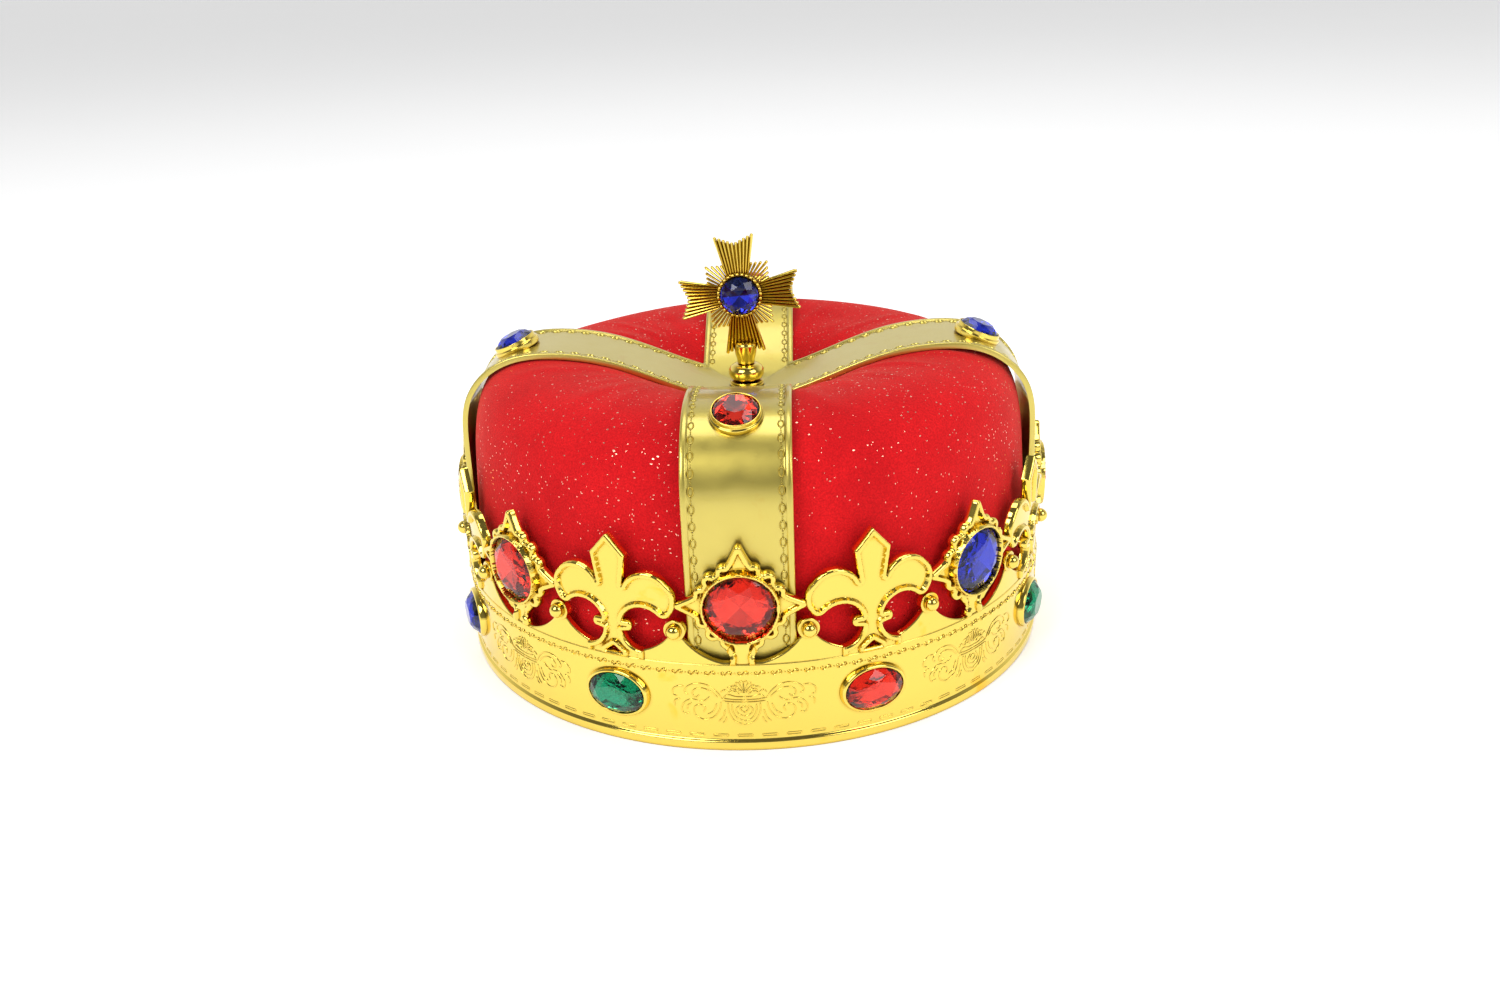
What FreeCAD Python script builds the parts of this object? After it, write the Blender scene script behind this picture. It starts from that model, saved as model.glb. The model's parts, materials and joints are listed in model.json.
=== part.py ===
import FreeCAD, Part
import math
import os

from FreeCAD import Placement, Rotation, Vector

# A costume crown. Millimetres, +Z up, the front towards -Y, the origin on the
# crown's axis in the plane that the rim stands on. Angles round the rim are in
# degrees from the front, positive towards +X.

# ---------------------------------------------------------------- rim band
BAND_RADIUS = 97.0          # outside of the strip
BAND_WALL = 2.0
BAND_HEIGHT = 28.0
LIP_HEIGHT = 2.9            # rib round the bottom edge
LIP_PROUD = 0.9
FRINGE_PROUD = 0.8          # star plates and fleurs stand out of the strip by this much
ABOVE_FRINGE = 80.0         # clear of the highest fleur
FRINGE_COUNT = 8            # stars, and as many fleurs between them
PITCH = 360.0 / FRINGE_COUNT

STAR_HEIGHT = 46.2          # centre of a star plate
STAR_TIP = 21.0             # centre to tip
STAR_BODY_RADIUS = 13.4
STAR_LOBE_CENTRE = 12.5     # the scallops between two tips
STAR_LOBE_RADIUS = 2.35
STAR_LOBE_ANGLES = (19.0, 45.0, 71.0)
STAR_FOOT_HALF_WIDTH = 3.3

PEAK_BALL_HEIGHT = 38.4
PEAK_BALL_RADIUS = 2.25
PEAK_BALL_PROUD = 1.0       # centre of a ball outside the strip
PEAK_DISC_RADIUS = 3.2

# ---------------------------------------------------------------- gems
STAR_GEM_RADIUS = 10.0
STAR_GEM_BEZEL = 11.3
STAR_GEM_SEAT = 97.0        # distance of the gem's flat back from the axis
OVAL_GEM_HALF = (9.0, 6.5)
OVAL_BEZEL_HALF = (10.5, 8.0)
OVAL_HEIGHT = 15.9
OVAL_GEM_SEAT = 96.3
BEZEL_PROUD = 1.5           # top of a bezel above the strip
STAR_BEZEL_ROOT = 1.0       # and its foot below it
OVAL_BEZEL_ROOT = 1.2
RIM_GEM_DEPTH = 4.2
SEAT_DEPTH = 6.0            # cuts through a bezel's front
SEAT_PLAY = 0.1             # seat larger than its gem all round
GEM_SIDES = 16
GEM_GIRDLE = 1.4            # straight edge of a gem
GEM_TABLE = 0.6             # flat face of a gem, as a share of its width

# ---------------------------------------------------------------- cross strap
STRAP_HALF_WIDTH = 15.5
STRAP_THICKNESS = 1.4
STRAP_LEG = 93.5            # outer face of a leg from the axis
STRAP_LEG_BOTTOM = 5.0
STRAP_LEG_TOP = 58.0        # where the shoulder begins
STRAP_PAD = 7.0             # half-length of the flat in the middle
STRAP_PAD_HEIGHT = 80.0
STRAP_CURVE = [(93.3, 70.0), (91.3, 81.5), (84.4, 90.6), (74.0, 95.6), (62.0, 96.4),
               (46.7, 94.2), (30.0, 88.3), (17.0, 83.2)]
PIN_HEIGHTS = (9.0, 19.0)   # snap pins that hold a leg to the band
PIN_RADIUS = 1.2
PIN_HOLE_END = 96.2         # blind end of a pin's hole in its boss
PIN_END = 96.1
PIN_HEAD_RADIUS = 2.6
PIN_HEAD_HEIGHT = 0.8
BOSS_RADIUS = 2.6
RUNNING_PLAY = 0.05
BOND = 0.2                  # overlap of two volumes that are joined

# ---------------------------------------------------------------- arch gems
ARCH_GEM_STATION = 76.0     # distance from the axis along an arch
ARCH_GEM_SURFACE = 95.3     # height of the arch there
ARCH_GEM_TILT = 23.0
ARCH_GEM_RADIUS = 6.5
ARCH_CUP_RADIUS = 7.7
ARCH_CUP_STEP_RADIUS = 7.1
ARCH_CUP_FOOT = -1.6        # lowest part of a cup, trimmed to the arch
ARCH_CUP_STEP = 1.0
ARCH_CUP_TOP = 2.4
ARCH_GEM_LIFT = 1.0         # gem back above the arch
ARCH_GEM_DEPTH = 3.4

# ---------------------------------------------------------------- cap
CAP_HEM_RADIUS = 92.4
CAP_HEM_HEIGHT = 3.0
CAP_SIDE_TOP = 42.0         # the side is upright up to here
CAP_LEG_CLEARANCE = 91.2    # the cap is pressed in to here behind each leg
CAP_THICKNESS = 1.0
LINING_THICKNESS = 0.6
LINING_GAP = 0.1
CAP_CENTRE_HEIGHT = 78.5
CAP_CURVE = [(91.2, 60.0), (89.6, 76.0), (85.0, 87.0), (75.0, 93.0), (62.0, 94.2),
             (46.7, 92.0), (30.0, 85.2), (18.0, 80.4)]
CAP_UNDER_STRAP = 0.1
CAP_BESIDE_STRAP = 0.5      # the pressed groove is wider than an arm by this much each side
LINING_SIDE = 90.0          # the lining hangs straight inside the pressed-in flats
LINING_CURVE = [(90.0, 60.0), (88.0, 76.0), (83.4, 85.6), (74.0, 91.3), (61.8, 92.5),
                (46.4, 89.9), (30.0, 83.0), (18.0, 78.2)]

SWEATBAND_RADIUS = 88.4     # inside, where the head goes
SWEATBAND_THICKNESS = 0.9
SWEATBAND_BOTTOM = 1.0
SWEATBAND_TOP = 21.0

# ---------------------------------------------------------------- lap joint at the back
SEAM_ANGLE = 150.3
SEAM_GAP = 0.3
LAP_START = 143.5
LAP_RADII = (93.5, 94.95)
LAP_HEIGHTS = (3.5, 26.0)
LAP_ROOT = (150.5, 152.5)   # where the tongue joins the strip's inner face
RIVET_ANGLE = 148.8
RIVET_HEIGHTS = (8.5, 21.0)
RIVET_RADIUS = 1.0
RIVET_HEAD_RADIUS = 1.9
RIVET_HEAD_HEIGHT = 0.7
RIVET_PLAY = 0.05           # under each flat head, because the band is curved

# ---------------------------------------------------------------- finial
SCREW_RADIUS = 1.5
SCREW_HEAD_RADIUS = 3.0
SCREW_HEAD_HEIGHT = 1.4
SCREW_TOP = 90.0
SCREW_HEAD_PLAY = 0.1       # the head turns under the washer
WASHER_RADIUS = 6.0
WASHER_THICKNESS = 0.8
FINIAL_LIFT = 0.15          # running gap between the strap's pad and the collar
COLLAR_RADIUS = 5.65
COLLAR_TOP = 81.7
COLLAR_GROOVE = 0.8         # above the collar's foot
KNOB_RADIUS = 5.95
KNOB_END_RADIUS = 3.3
KNOB_TOP = 87.4
STEM_TOP = 94.8
STEM_PROFILE = [(2.85, 87.4), (2.9, 88.6), (3.6, 91.2), (3.65, 94.0), (2.8, 94.8)]
CROSS_PIVOT = 93.0          # the plate leans about this height on the stem
CROSS_CENTRE = 110.65
CROSS_LEAN = 4.25
CROSS_THICKNESS = 1.6
CROSS_ARM_TIP = (7.2, 19.7)
CROSS_ARM_ROOT = (3.6, 5.0)
CROSS_ARM_NOTCH = 17.0
CROSS_SQUARE = 10.2         # half-size of the square of rays behind the arms
CROSS_RING = (6.25, 7.45)
CROSS_RING_PROUD = 1.6
CROSS_RING_ROOT = 0.2
CROSS_GEM_RADIUS = 6.2
CROSS_GEM_DEPTH = 3.4

SIDES = {"front": 0.0, "right": 90.0, "back": 180.0, "left": 270.0}
STAR_GEMS = {"front": 0, "front_right": 45, "right": 90, "back_right": 135,
             "back": 180, "back_left": 225, "left": 270, "front_left": 315}
OVAL_GEMS = {"front_right": 22.5, "right_front": 67.5, "right_back": 112.5,
             "back_right": 157.5, "back_left": 202.5, "left_back": 247.5,
             "left_front": 292.5, "front_left": 337.5}


def turned(shape, angle):
    """A copy of the shape, turned about the crown's axis."""
    copy = shape.copy()
    copy.rotate(Vector(0, 0, 0), Vector(0, 0, 1), angle)
    return copy


def on_rim(shape, angle, radius, height):
    """Put a shape on the rim: its X runs round the rim, its Y up and its Z outwards."""
    stand_up = Placement(Vector(0, -radius, height), Rotation(Vector(1, 0, 0), 90))
    copy = shape.copy()
    copy.Placement = stand_up * shape.Placement
    return turned(copy, angle)


def tube(inner, outer, bottom, top):
    height = top - bottom
    base = Vector(0, 0, bottom)
    return Part.makeCylinder(outer, height, base).cut(Part.makeCylinder(inner, height, base))


def revolved(points):
    """Turn a closed outline of (radius, height) points about Z."""
    corners = [Vector(r, 0, z) for r, z in points]
    face = Part.Face(Part.makePolygon(corners + corners[:1]))
    return face.revolve(Vector(0, 0, 0), Vector(0, 0, 1), 360)


def flat(x, y):
    return Vector(x, y, 0)


def line(a, b):
    return Part.LineSegment(flat(*a), flat(*b)).toShape()


def arc(a, middle, b):
    return Part.Arc(flat(*a), flat(*middle), flat(*b)).toShape()


def mirrored_face(edges):
    """Close a right-hand half outline, which starts and ends on x = 0, with its mirror image."""
    half = Part.Wire(edges)
    other = half.mirror(Vector(0, 0, 0), Vector(1, 0, 0))
    loop = Part.Wire(Part.__sortEdges__(half.Edges + other.Edges))
    return Part.Face(loop)


def disc(x, y, radius):
    return Part.Face(Part.Wire(Part.makeCircle(radius, flat(x, y))))


def plate_on_rim(face, proud):
    """Stand a flat outline on the rim and give it the rim's curve and thickness."""
    depth = 16.0
    block = face.extrude(Vector(0, 0, depth))
    block = on_rim(block, 0, BAND_RADIUS - depth / 2, 0)
    inner = BAND_RADIUS - BAND_WALL
    return block.common(tube(inner, BAND_RADIUS + proud, 0, ABOVE_FRINGE))


def faceted_gem(half_width, half_height, depth):
    """Flat-backed gem: an upright girdle and one row of crown facets up to the table."""
    def ring(scale, level):
        corners = []
        for i in range(GEM_SIDES):
            turn = 2 * math.pi * i / GEM_SIDES
            corners.append(Vector(scale * half_width * math.cos(turn),
                                  scale * half_height * math.sin(turn), level))
        return Part.makePolygon(corners + corners[:1])
    sections = [ring(1, 0), ring(1, GEM_GIRDLE), ring(GEM_TABLE, depth)]
    return Part.makeLoft(sections, True, True)


# ------------------------------------------------------------------ rim band

def star_outline():
    """Eight-sided star: a scalloped disc with four ogee tips, the lowest joined to the strip."""
    tip = [line((0, 12.0), (4.3, 13.2)), line((4.3, 13.2), (2.6, 16.2)),
           line((2.6, 16.2), (1.0, 20.1)), arc((1.0, 20.1), (0.7, 20.7), (0, STAR_TIP))]
    tip_face = mirrored_face(tip)
    pieces = []
    for quarter in range(4):
        point = tip_face.copy()
        point.rotate(flat(0, 0), Vector(0, 0, 1), 90 * quarter)
        if quarter != 2:
            pieces.append(point)
        for lobe in STAR_LOBE_ANGLES:
            turn = math.radians(lobe + 90 * quarter)
            pieces.append(disc(STAR_LOBE_CENTRE * math.cos(turn),
                               STAR_LOBE_CENTRE * math.sin(turn), STAR_LOBE_RADIUS))
    foot_bottom = BAND_HEIGHT - STAR_HEIGHT - 2
    foot = [line((0, foot_bottom), (STAR_FOOT_HALF_WIDTH, foot_bottom)),
            line((STAR_FOOT_HALF_WIDTH, foot_bottom), (STAR_FOOT_HALF_WIDTH, -16.0)),
            line((STAR_FOOT_HALF_WIDTH, -16.0), (5.2, -12.0)),
            line((5.2, -12.0), (0, -12.0))]
    pieces.append(mirrored_face(foot))
    face = disc(0, 0, STAR_BODY_RADIUS).fuse(pieces).removeSplitter()
    face.translate(flat(0, STAR_HEIGHT))
    return face


def fleur_outline():
    """Fleur-de-lis: spire, two curled lobes, a knot on each side and a splayed foot."""
    right_half = [
        line((0, 66.4), (5.5, 60.2)), line((5.5, 60.2), (4.1, 51.0)),
        arc((4.1, 51.0), (10.6, 55.7), (17.5, 52.4)),
        arc((17.5, 52.4), (19.8, 47.6), (18.4, 43.4)),
        arc((18.4, 43.4), (16.4, 41.9), (14.4, 42.6)),
        arc((14.4, 42.6), (8.6, 44.6), (3.2, 39.8)),
        line((3.2, 39.8), (5.6, 39.8)), arc((5.6, 39.8), (6.3, 38.3), (5.6, 36.8)),
        line((5.6, 36.8), (3.0, 36.4)), arc((3.0, 36.4), (4.6, 32.8), (9.2, 30.8)),
        line((9.2, 30.8), (9.2, 26.0)), line((9.2, 26.0), (0, 26.0))]
    window = [line((0, 31.4), (2.8, 29.2)), line((2.8, 29.2), (0, 29.2))]
    return mirrored_face(right_half).cut(mirrored_face(window))


def peak_outline():
    """Concave hill between a star, on its left, and a fleur, on its right."""
    edges = [line((-15.5, 26.0), (-15.5, 28.4)), line((-15.5, 28.4), (-13.4, 28.4)),
             arc((-13.4, 28.4), (-7.2, 31.0), (-1.6, 36.4)), line((-1.6, 36.4), (1.6, 36.4)),
             arc((1.6, 36.4), (5.4, 33.0), (11.0, 30.6)), line((11.0, 30.6), (11.0, 26.0)),
             line((11.0, 26.0), (-15.5, 26.0))]
    return Part.Face(Part.Wire(edges))


def oval_prism(half, bottom, top):
    """Elliptic cylinder with its axis along Z."""
    ellipse = Part.Ellipse(flat(0, 0), half[0], half[1]).toShape()
    prism = Part.Face(Part.Wire(ellipse)).extrude(Vector(0, 0, top - bottom))
    prism.translate(Vector(0, 0, bottom))
    return prism


def pin_boss():
    """Stand-off inside the band that a strap leg rests against, without its hole."""
    reach = BAND_RADIUS - BAND_WALL - STRAP_LEG
    return Part.makeCylinder(BOSS_RADIUS, reach + 2 * BOND)


def band_body():
    strip = tube(BAND_RADIUS - BAND_WALL, BAND_RADIUS, 0, BAND_HEIGHT)
    lip = tube(BAND_RADIUS - BAND_WALL, BAND_RADIUS + LIP_PROUD, 0, LIP_HEIGHT)
    star = plate_on_rim(star_outline(), FRINGE_PROUD)
    fleur = plate_on_rim(fleur_outline(), FRINGE_PROUD)
    rising_peak = plate_on_rim(peak_outline(), 0)
    falling_peak = rising_peak.mirror(Vector(0, 0, 0), Vector(1, 0, 0))
    peak_disc = plate_on_rim(disc(0, PEAK_BALL_HEIGHT, PEAK_DISC_RADIUS), FRINGE_PROUD / 2)
    ball_centre = Vector(0, -BAND_RADIUS - PEAK_BALL_PROUD, PEAK_BALL_HEIGHT)
    ball = Part.makeSphere(PEAK_BALL_RADIUS, ball_centre)

    pieces = [lip]
    for i in range(FRINGE_COUNT):
        angle = i * PITCH
        pieces.append(turned(star, angle))
        pieces.append(turned(fleur, angle + PITCH / 2))
        pieces.append(turned(rising_peak, angle + PITCH / 4))
        pieces.append(turned(falling_peak, angle - PITCH / 4))
        for side in (-PITCH / 4, PITCH / 4):
            pieces.append(turned(peak_disc, angle + side))
            pieces.append(turned(ball, angle + side))
        star_bezel = Part.makeCylinder(STAR_GEM_BEZEL, STAR_BEZEL_ROOT + BEZEL_PROUD)
        pieces.append(on_rim(star_bezel, angle, BAND_RADIUS - STAR_BEZEL_ROOT, STAR_HEIGHT))
        oval_bezel = oval_prism(OVAL_BEZEL_HALF, -OVAL_BEZEL_ROOT, BEZEL_PROUD)
        pieces.append(on_rim(oval_bezel, angle + PITCH / 2, BAND_RADIUS, OVAL_HEIGHT))
    for angle in SIDES.values():
        for height in PIN_HEIGHTS:
            pieces.append(on_rim(pin_boss(), angle, STRAP_LEG, height))
    return strip.fuse(pieces)


def lap_tab():
    """Tongue of one end of the strip, which passes behind the other end."""
    low, high = LAP_HEIGHTS
    thin = tube(LAP_RADII[0], LAP_RADII[1], low, high)
    root = tube(LAP_RADII[0], BAND_RADIUS - BAND_WALL + BOND, low, high)
    root_start, root_end = LAP_ROOT
    thin = thin.common(sector(LAP_START, root_end))
    return thin.fuse(root.common(sector(root_start, root_end)))


def sector(start, end):
    """Wedge of space between two angles round the rim."""
    reach = 130.0
    bottom = -1.0
    corners = [Vector(0, 0, bottom)]
    for angle in (start, (start + end) / 2, end):
        turn = math.radians(angle)
        corners.append(Vector(reach * math.sin(turn), -reach * math.cos(turn), bottom))
    face = Part.Face(Part.makePolygon(corners + corners[:1]))
    return face.extrude(Vector(0, 0, ABOVE_FRINGE))


def make_rim_band():
    cutters = []
    for i in range(FRINGE_COUNT):
        angle = i * PITCH
        round_seat = Part.makeCylinder(STAR_GEM_RADIUS + SEAT_PLAY, SEAT_DEPTH)
        cutters.append(on_rim(round_seat, angle, STAR_GEM_SEAT, STAR_HEIGHT))
        oval_seat = oval_prism([size + SEAT_PLAY for size in OVAL_GEM_HALF], 0, SEAT_DEPTH)
        cutters.append(on_rim(oval_seat, angle + PITCH / 2, OVAL_GEM_SEAT, OVAL_HEIGHT))
    for angle in SIDES.values():
        for height in PIN_HEIGHTS:
            hole = Part.makeCylinder(PIN_RADIUS + RUNNING_PLAY, PIN_HOLE_END - STRAP_LEG)
            cutters.append(on_rim(hole, angle, STRAP_LEG, height))
    half_gap = math.degrees(SEAM_GAP / 2 / BAND_RADIUS)
    seam = sector(SEAM_ANGLE - half_gap, SEAM_ANGLE + half_gap)
    cutters.append(seam.common(tube(LAP_RADII[1], BAND_RADIUS + SEAT_DEPTH, -1, PEAK_BALL_HEIGHT)))
    for height in RIVET_HEIGHTS:
        hole = Part.makeCylinder(RIVET_RADIUS + RUNNING_PLAY, SEAT_DEPTH)
        cutters.append(on_rim(hole, RIVET_ANGLE, SWEATBAND_RADIUS + SEAT_DEPTH / 2, height))
    return band_body().fuse(lap_tab()).cut(cutters).removeSplitter()


def make_band_rivets():
    rivets = []
    inner = LAP_RADII[0] - RIVET_PLAY
    grip = BAND_RADIUS + RIVET_PLAY - inner
    for height in RIVET_HEIGHTS:
        shank = Part.makeCylinder(RIVET_RADIUS, grip + 2 * BOND, Vector(0, 0, -BOND))
        back = Part.makeCylinder(RIVET_HEAD_RADIUS, RIVET_HEAD_HEIGHT, Vector(0, 0, -RIVET_HEAD_HEIGHT))
        front = Part.makeCylinder(RIVET_HEAD_RADIUS, RIVET_HEAD_HEIGHT, Vector(0, 0, grip))
        rivets.append(on_rim(shank.fuse([back, front]), RIVET_ANGLE, inner, height))
    return Part.makeCompound(rivets)


# ------------------------------------------------------------------ gems

def make_star_gem(angle):
    gem = faceted_gem(STAR_GEM_RADIUS, STAR_GEM_RADIUS, RIM_GEM_DEPTH)
    return on_rim(gem, angle, STAR_GEM_SEAT, STAR_HEIGHT)


def make_oval_gem(angle):
    gem = faceted_gem(OVAL_GEM_HALF[0], OVAL_GEM_HALF[1], RIM_GEM_DEPTH)
    return on_rim(gem, angle, OVAL_GEM_SEAT, OVAL_HEIGHT)


def on_arch(shape, angle, lift):
    """Put a shape on the shoulder of an arch, its Z square to the arch."""
    tilt = Rotation(Vector(1, 0, 0), ARCH_GEM_TILT)
    outwards = tilt.multVec(Vector(0, 0, lift))
    place = Placement(Vector(0, -ARCH_GEM_STATION, ARCH_GEM_SURFACE) + outwards, tilt)
    copy = shape.copy()
    copy.Placement = place * shape.Placement
    return turned(copy, angle)


def make_arch_setting(angle, strap_envelope):
    """Two-step cup, its underside following the arch."""
    def level(radius, bottom, top):
        return Part.makeCylinder(radius, top - bottom, Vector(0, 0, bottom))
    foot = level(ARCH_CUP_RADIUS, ARCH_CUP_FOOT, ARCH_CUP_STEP)
    step = level(ARCH_CUP_STEP_RADIUS, ARCH_CUP_STEP, ARCH_CUP_TOP)
    seat = level(ARCH_GEM_RADIUS + SEAT_PLAY, ARCH_GEM_LIFT, ARCH_CUP_TOP + 1)
    cup = on_arch(foot.fuse(step).cut(seat), angle, 0)
    return cup.cut(strap_envelope)


def make_arch_gem(angle):
    gem = faceted_gem(ARCH_GEM_RADIUS, ARCH_GEM_RADIUS, ARCH_GEM_DEPTH)
    return on_arch(gem, angle, ARCH_GEM_LIFT)


# ------------------------------------------------------------------ cross strap and cap

def inset(points, distance):
    """Shift a curve's points inwards, square to the curve, which starts upright and ends level."""
    moved = []
    last = len(points) - 1
    for i, (x, z) in enumerate(points):
        if i == 0:
            dx, dz = 0.0, 1.0
        elif i == last:
            dx, dz = -1.0, 0.0
        else:
            dx, dz = points[i + 1][0] - points[i - 1][0], points[i + 1][1] - points[i - 1][1]
        length = math.hypot(dx, dz)
        moved.append((x - distance * dz / length, z + distance * dx / length))
    return moved


def half_section(points, distance, bottom):
    """Right half of a dome's outline, open along the axis: base, side, curve and level middle."""
    moved = inset(points, distance)
    side, middle = moved[0], moved[-1]
    curve = Part.BSplineCurve()
    curve.interpolate([Vector(x, 0, z) for x, z in moved])
    return [Part.LineSegment(Vector(0, 0, bottom), Vector(side[0], 0, bottom)).toShape(),
            Part.LineSegment(Vector(side[0], 0, bottom), Vector(side[0], 0, side[1])).toShape(),
            curve.toShape(),
            Part.LineSegment(Vector(middle[0], 0, middle[1]), Vector(0, 0, middle[1])).toShape()]


def arm_block(distance, half_width, bottom):
    """Everything under one arm of the cross strap, set in by a distance and mitred at the axis."""
    points = [(STRAP_LEG, STRAP_LEG_TOP)] + STRAP_CURVE + [(STRAP_PAD, STRAP_PAD_HEIGHT)]
    edges = half_section(points, distance, bottom)
    axis = Part.LineSegment(Vector(0, 0, bottom), Vector(0, 0, STRAP_PAD_HEIGHT - distance)).toShape()
    face = Part.Face(Part.Wire(Part.__sortEdges__(edges + [axis])))
    face.translate(Vector(0, -half_width, 0))
    arm = face.extrude(Vector(0, 2 * half_width, 0))
    reach = 120.0
    corners = [Vector(0, 0, 0), Vector(reach, -reach, 0), Vector(reach, reach, 0), Vector(0, 0, 0)]
    mitre = Part.Face(Part.makePolygon(corners)).extrude(Vector(0, 0, reach))
    return arm.common(mitre)


def four_arms(arm):
    """Join an arm, which points along +X, with its three copies."""
    return arm.fuse([turned(arm, 90 * i) for i in range(1, 4)])


def make_cross_strap():
    """One moulding: four flat legs that run up, over the shoulders and down to the middle."""
    outer = arm_block(0, STRAP_HALF_WIDTH, STRAP_LEG_BOTTOM)
    inner = arm_block(STRAP_THICKNESS, STRAP_HALF_WIDTH + 1, STRAP_LEG_BOTTOM - 1)
    strap = four_arms(outer.cut(inner))
    holes = [screw_hole()]
    for angle in SIDES.values():
        for height in PIN_HEIGHTS:
            hole = Part.makeCylinder(PIN_RADIUS + RUNNING_PLAY, 3 * STRAP_THICKNESS)
            holes.append(on_rim(hole, angle, STRAP_LEG - 2 * STRAP_THICKNESS, height))
    return strap.cut(holes)


def make_strap_pins():
    """Snap pins, pushed from inside through a leg into the band's boss."""
    inner = STRAP_LEG - STRAP_THICKNESS
    pins = []
    for angle in SIDES.values():
        for height in PIN_HEIGHTS:
            head = Part.makeCylinder(PIN_HEAD_RADIUS, PIN_HEAD_HEIGHT, Vector(0, 0, -PIN_HEAD_HEIGHT))
            shank = Part.makeCylinder(PIN_RADIUS, PIN_END - inner + BOND, Vector(0, 0, -BOND))
            pins.append(on_rim(head.fuse(shank), angle, inner, height))
    return Part.makeCompound(pins)


def screw_hole():
    return Part.makeCylinder(SCREW_RADIUS + RUNNING_PLAY, SCREW_TOP, Vector(0, 0, STRAP_LEG_TOP))


def dome(points, distance, bottom):
    """Turned volume under a curve, set in by a distance."""
    edges = half_section(points, distance, bottom)
    top = points[-1][1] - distance
    axis = Part.LineSegment(Vector(0, 0, bottom), Vector(0, 0, top)).toShape()
    face = Part.Face(Part.Wire(Part.__sortEdges__(edges + [axis])))
    return face.revolve(Vector(0, 0, 0), Vector(0, 0, 1), 360)


def cap_body(distance, bottom):
    """The cap's full volume, set in by a distance: a puffed dome, pressed in by the strap."""
    points = [(CAP_HEM_RADIUS, CAP_SIDE_TOP)] + CAP_CURVE + [(STRAP_PAD, CAP_CENTRE_HEIGHT)]
    puffed = dome(points, distance, bottom)
    half_width = STRAP_HALF_WIDTH + CAP_BESIDE_STRAP + distance
    arm = Part.makeBox(240, 2 * half_width, 50, Vector(-120, -half_width, 70))
    over_cap = arm.fuse(turned(arm, 90))
    under_arm = arm_block(STRAP_THICKNESS + CAP_UNDER_STRAP + distance, half_width, 60)
    pressed = [over_cap.cut(four_arms(under_arm))]
    for angle in SIDES.values():
        flat_side = Part.makeBox(2 * half_width, 20, 120, Vector(-half_width, -20, -1))
        flat_side.translate(Vector(0, -(CAP_LEG_CLEARANCE - distance), 0))
        pressed.append(turned(flat_side, angle))
    return puffed.cut(pressed)


def make_velvet_cap():
    """Skin of the cap, open at the hem and pierced for the screw."""
    outer = cap_body(0, CAP_HEM_HEIGHT)
    inner = cap_body(CAP_THICKNESS, CAP_HEM_HEIGHT - 1)
    return outer.cut(inner).cut(screw_hole())


def make_cap_lining():
    """Plain turned shell that hangs inside the cap."""
    top = CAP_CENTRE_HEIGHT - CAP_THICKNESS - LINING_GAP
    points = [(LINING_SIDE, CAP_SIDE_TOP)] + LINING_CURVE + [(STRAP_PAD, top)]
    outer = dome(points, 0, CAP_HEM_HEIGHT)
    inner = dome(points, LINING_THICKNESS, CAP_HEM_HEIGHT - 1)
    return outer.cut(inner).cut(screw_hole())


def make_sweatband():
    return tube(SWEATBAND_RADIUS, SWEATBAND_RADIUS + SWEATBAND_THICKNESS, SWEATBAND_BOTTOM, SWEATBAND_TOP)


# ------------------------------------------------------------------ finial

def washer_top():
    return CAP_CENTRE_HEIGHT - CAP_THICKNESS - LINING_GAP - LINING_THICKNESS


def make_finial_washer():
    top = washer_top()
    return tube(SCREW_RADIUS + RUNNING_PLAY, WASHER_RADIUS, top - WASHER_THICKNESS, top)


def make_finial_screw():
    """Pan-head screw, whose head turns just under the washer."""
    head_top = washer_top() - WASHER_THICKNESS - SCREW_HEAD_PLAY
    head = Part.makeCylinder(SCREW_HEAD_RADIUS, SCREW_HEAD_HEIGHT, Vector(0, 0, head_top - SCREW_HEAD_HEIGHT))
    shank = Part.makeCylinder(SCREW_RADIUS, SCREW_TOP - head_top + BOND, Vector(0, 0, head_top - BOND))
    return head.fuse(shank)


def make_finial_collar():
    bottom = STRAP_PAD_HEIGHT + FINIAL_LIFT
    groove = bottom + COLLAR_GROOVE
    upper_radius = COLLAR_RADIUS - 0.2
    return revolved([(SCREW_RADIUS, bottom), (COLLAR_RADIUS, bottom), (COLLAR_RADIUS, groove - 0.1),
                     (COLLAR_RADIUS - 0.4, groove), (upper_radius, groove + 0.1),
                     (upper_radius, COLLAR_TOP), (SCREW_RADIUS, COLLAR_TOP)])


def make_finial_knob():
    """Flattened ball with level ends."""
    middle = (COLLAR_TOP + KNOB_TOP) / 2
    low, high = Vector(KNOB_END_RADIUS, 0, COLLAR_TOP), Vector(KNOB_END_RADIUS, 0, KNOB_TOP)
    side = Part.Arc(low, Vector(KNOB_RADIUS, 0, middle), high).toShape()
    rest = Part.makePolygon([high, Vector(SCREW_RADIUS, 0, KNOB_TOP),
                             Vector(SCREW_RADIUS, 0, COLLAR_TOP), low])
    face = Part.Face(Part.Wire([side] + rest.Edges))
    return face.revolve(Vector(0, 0, 0), Vector(0, 0, 1), 360)


def make_finial_stem(cross):
    """Flared socket, slotted at the top for the cross."""
    stem = revolved([(0, KNOB_TOP)] + STEM_PROFILE + [(0, STEM_TOP)])
    bore = Part.makeCylinder(SCREW_RADIUS, SCREW_TOP - KNOB_TOP + 1, Vector(0, 0, KNOB_TOP - 1))
    return stem.cut([bore, cross])


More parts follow.
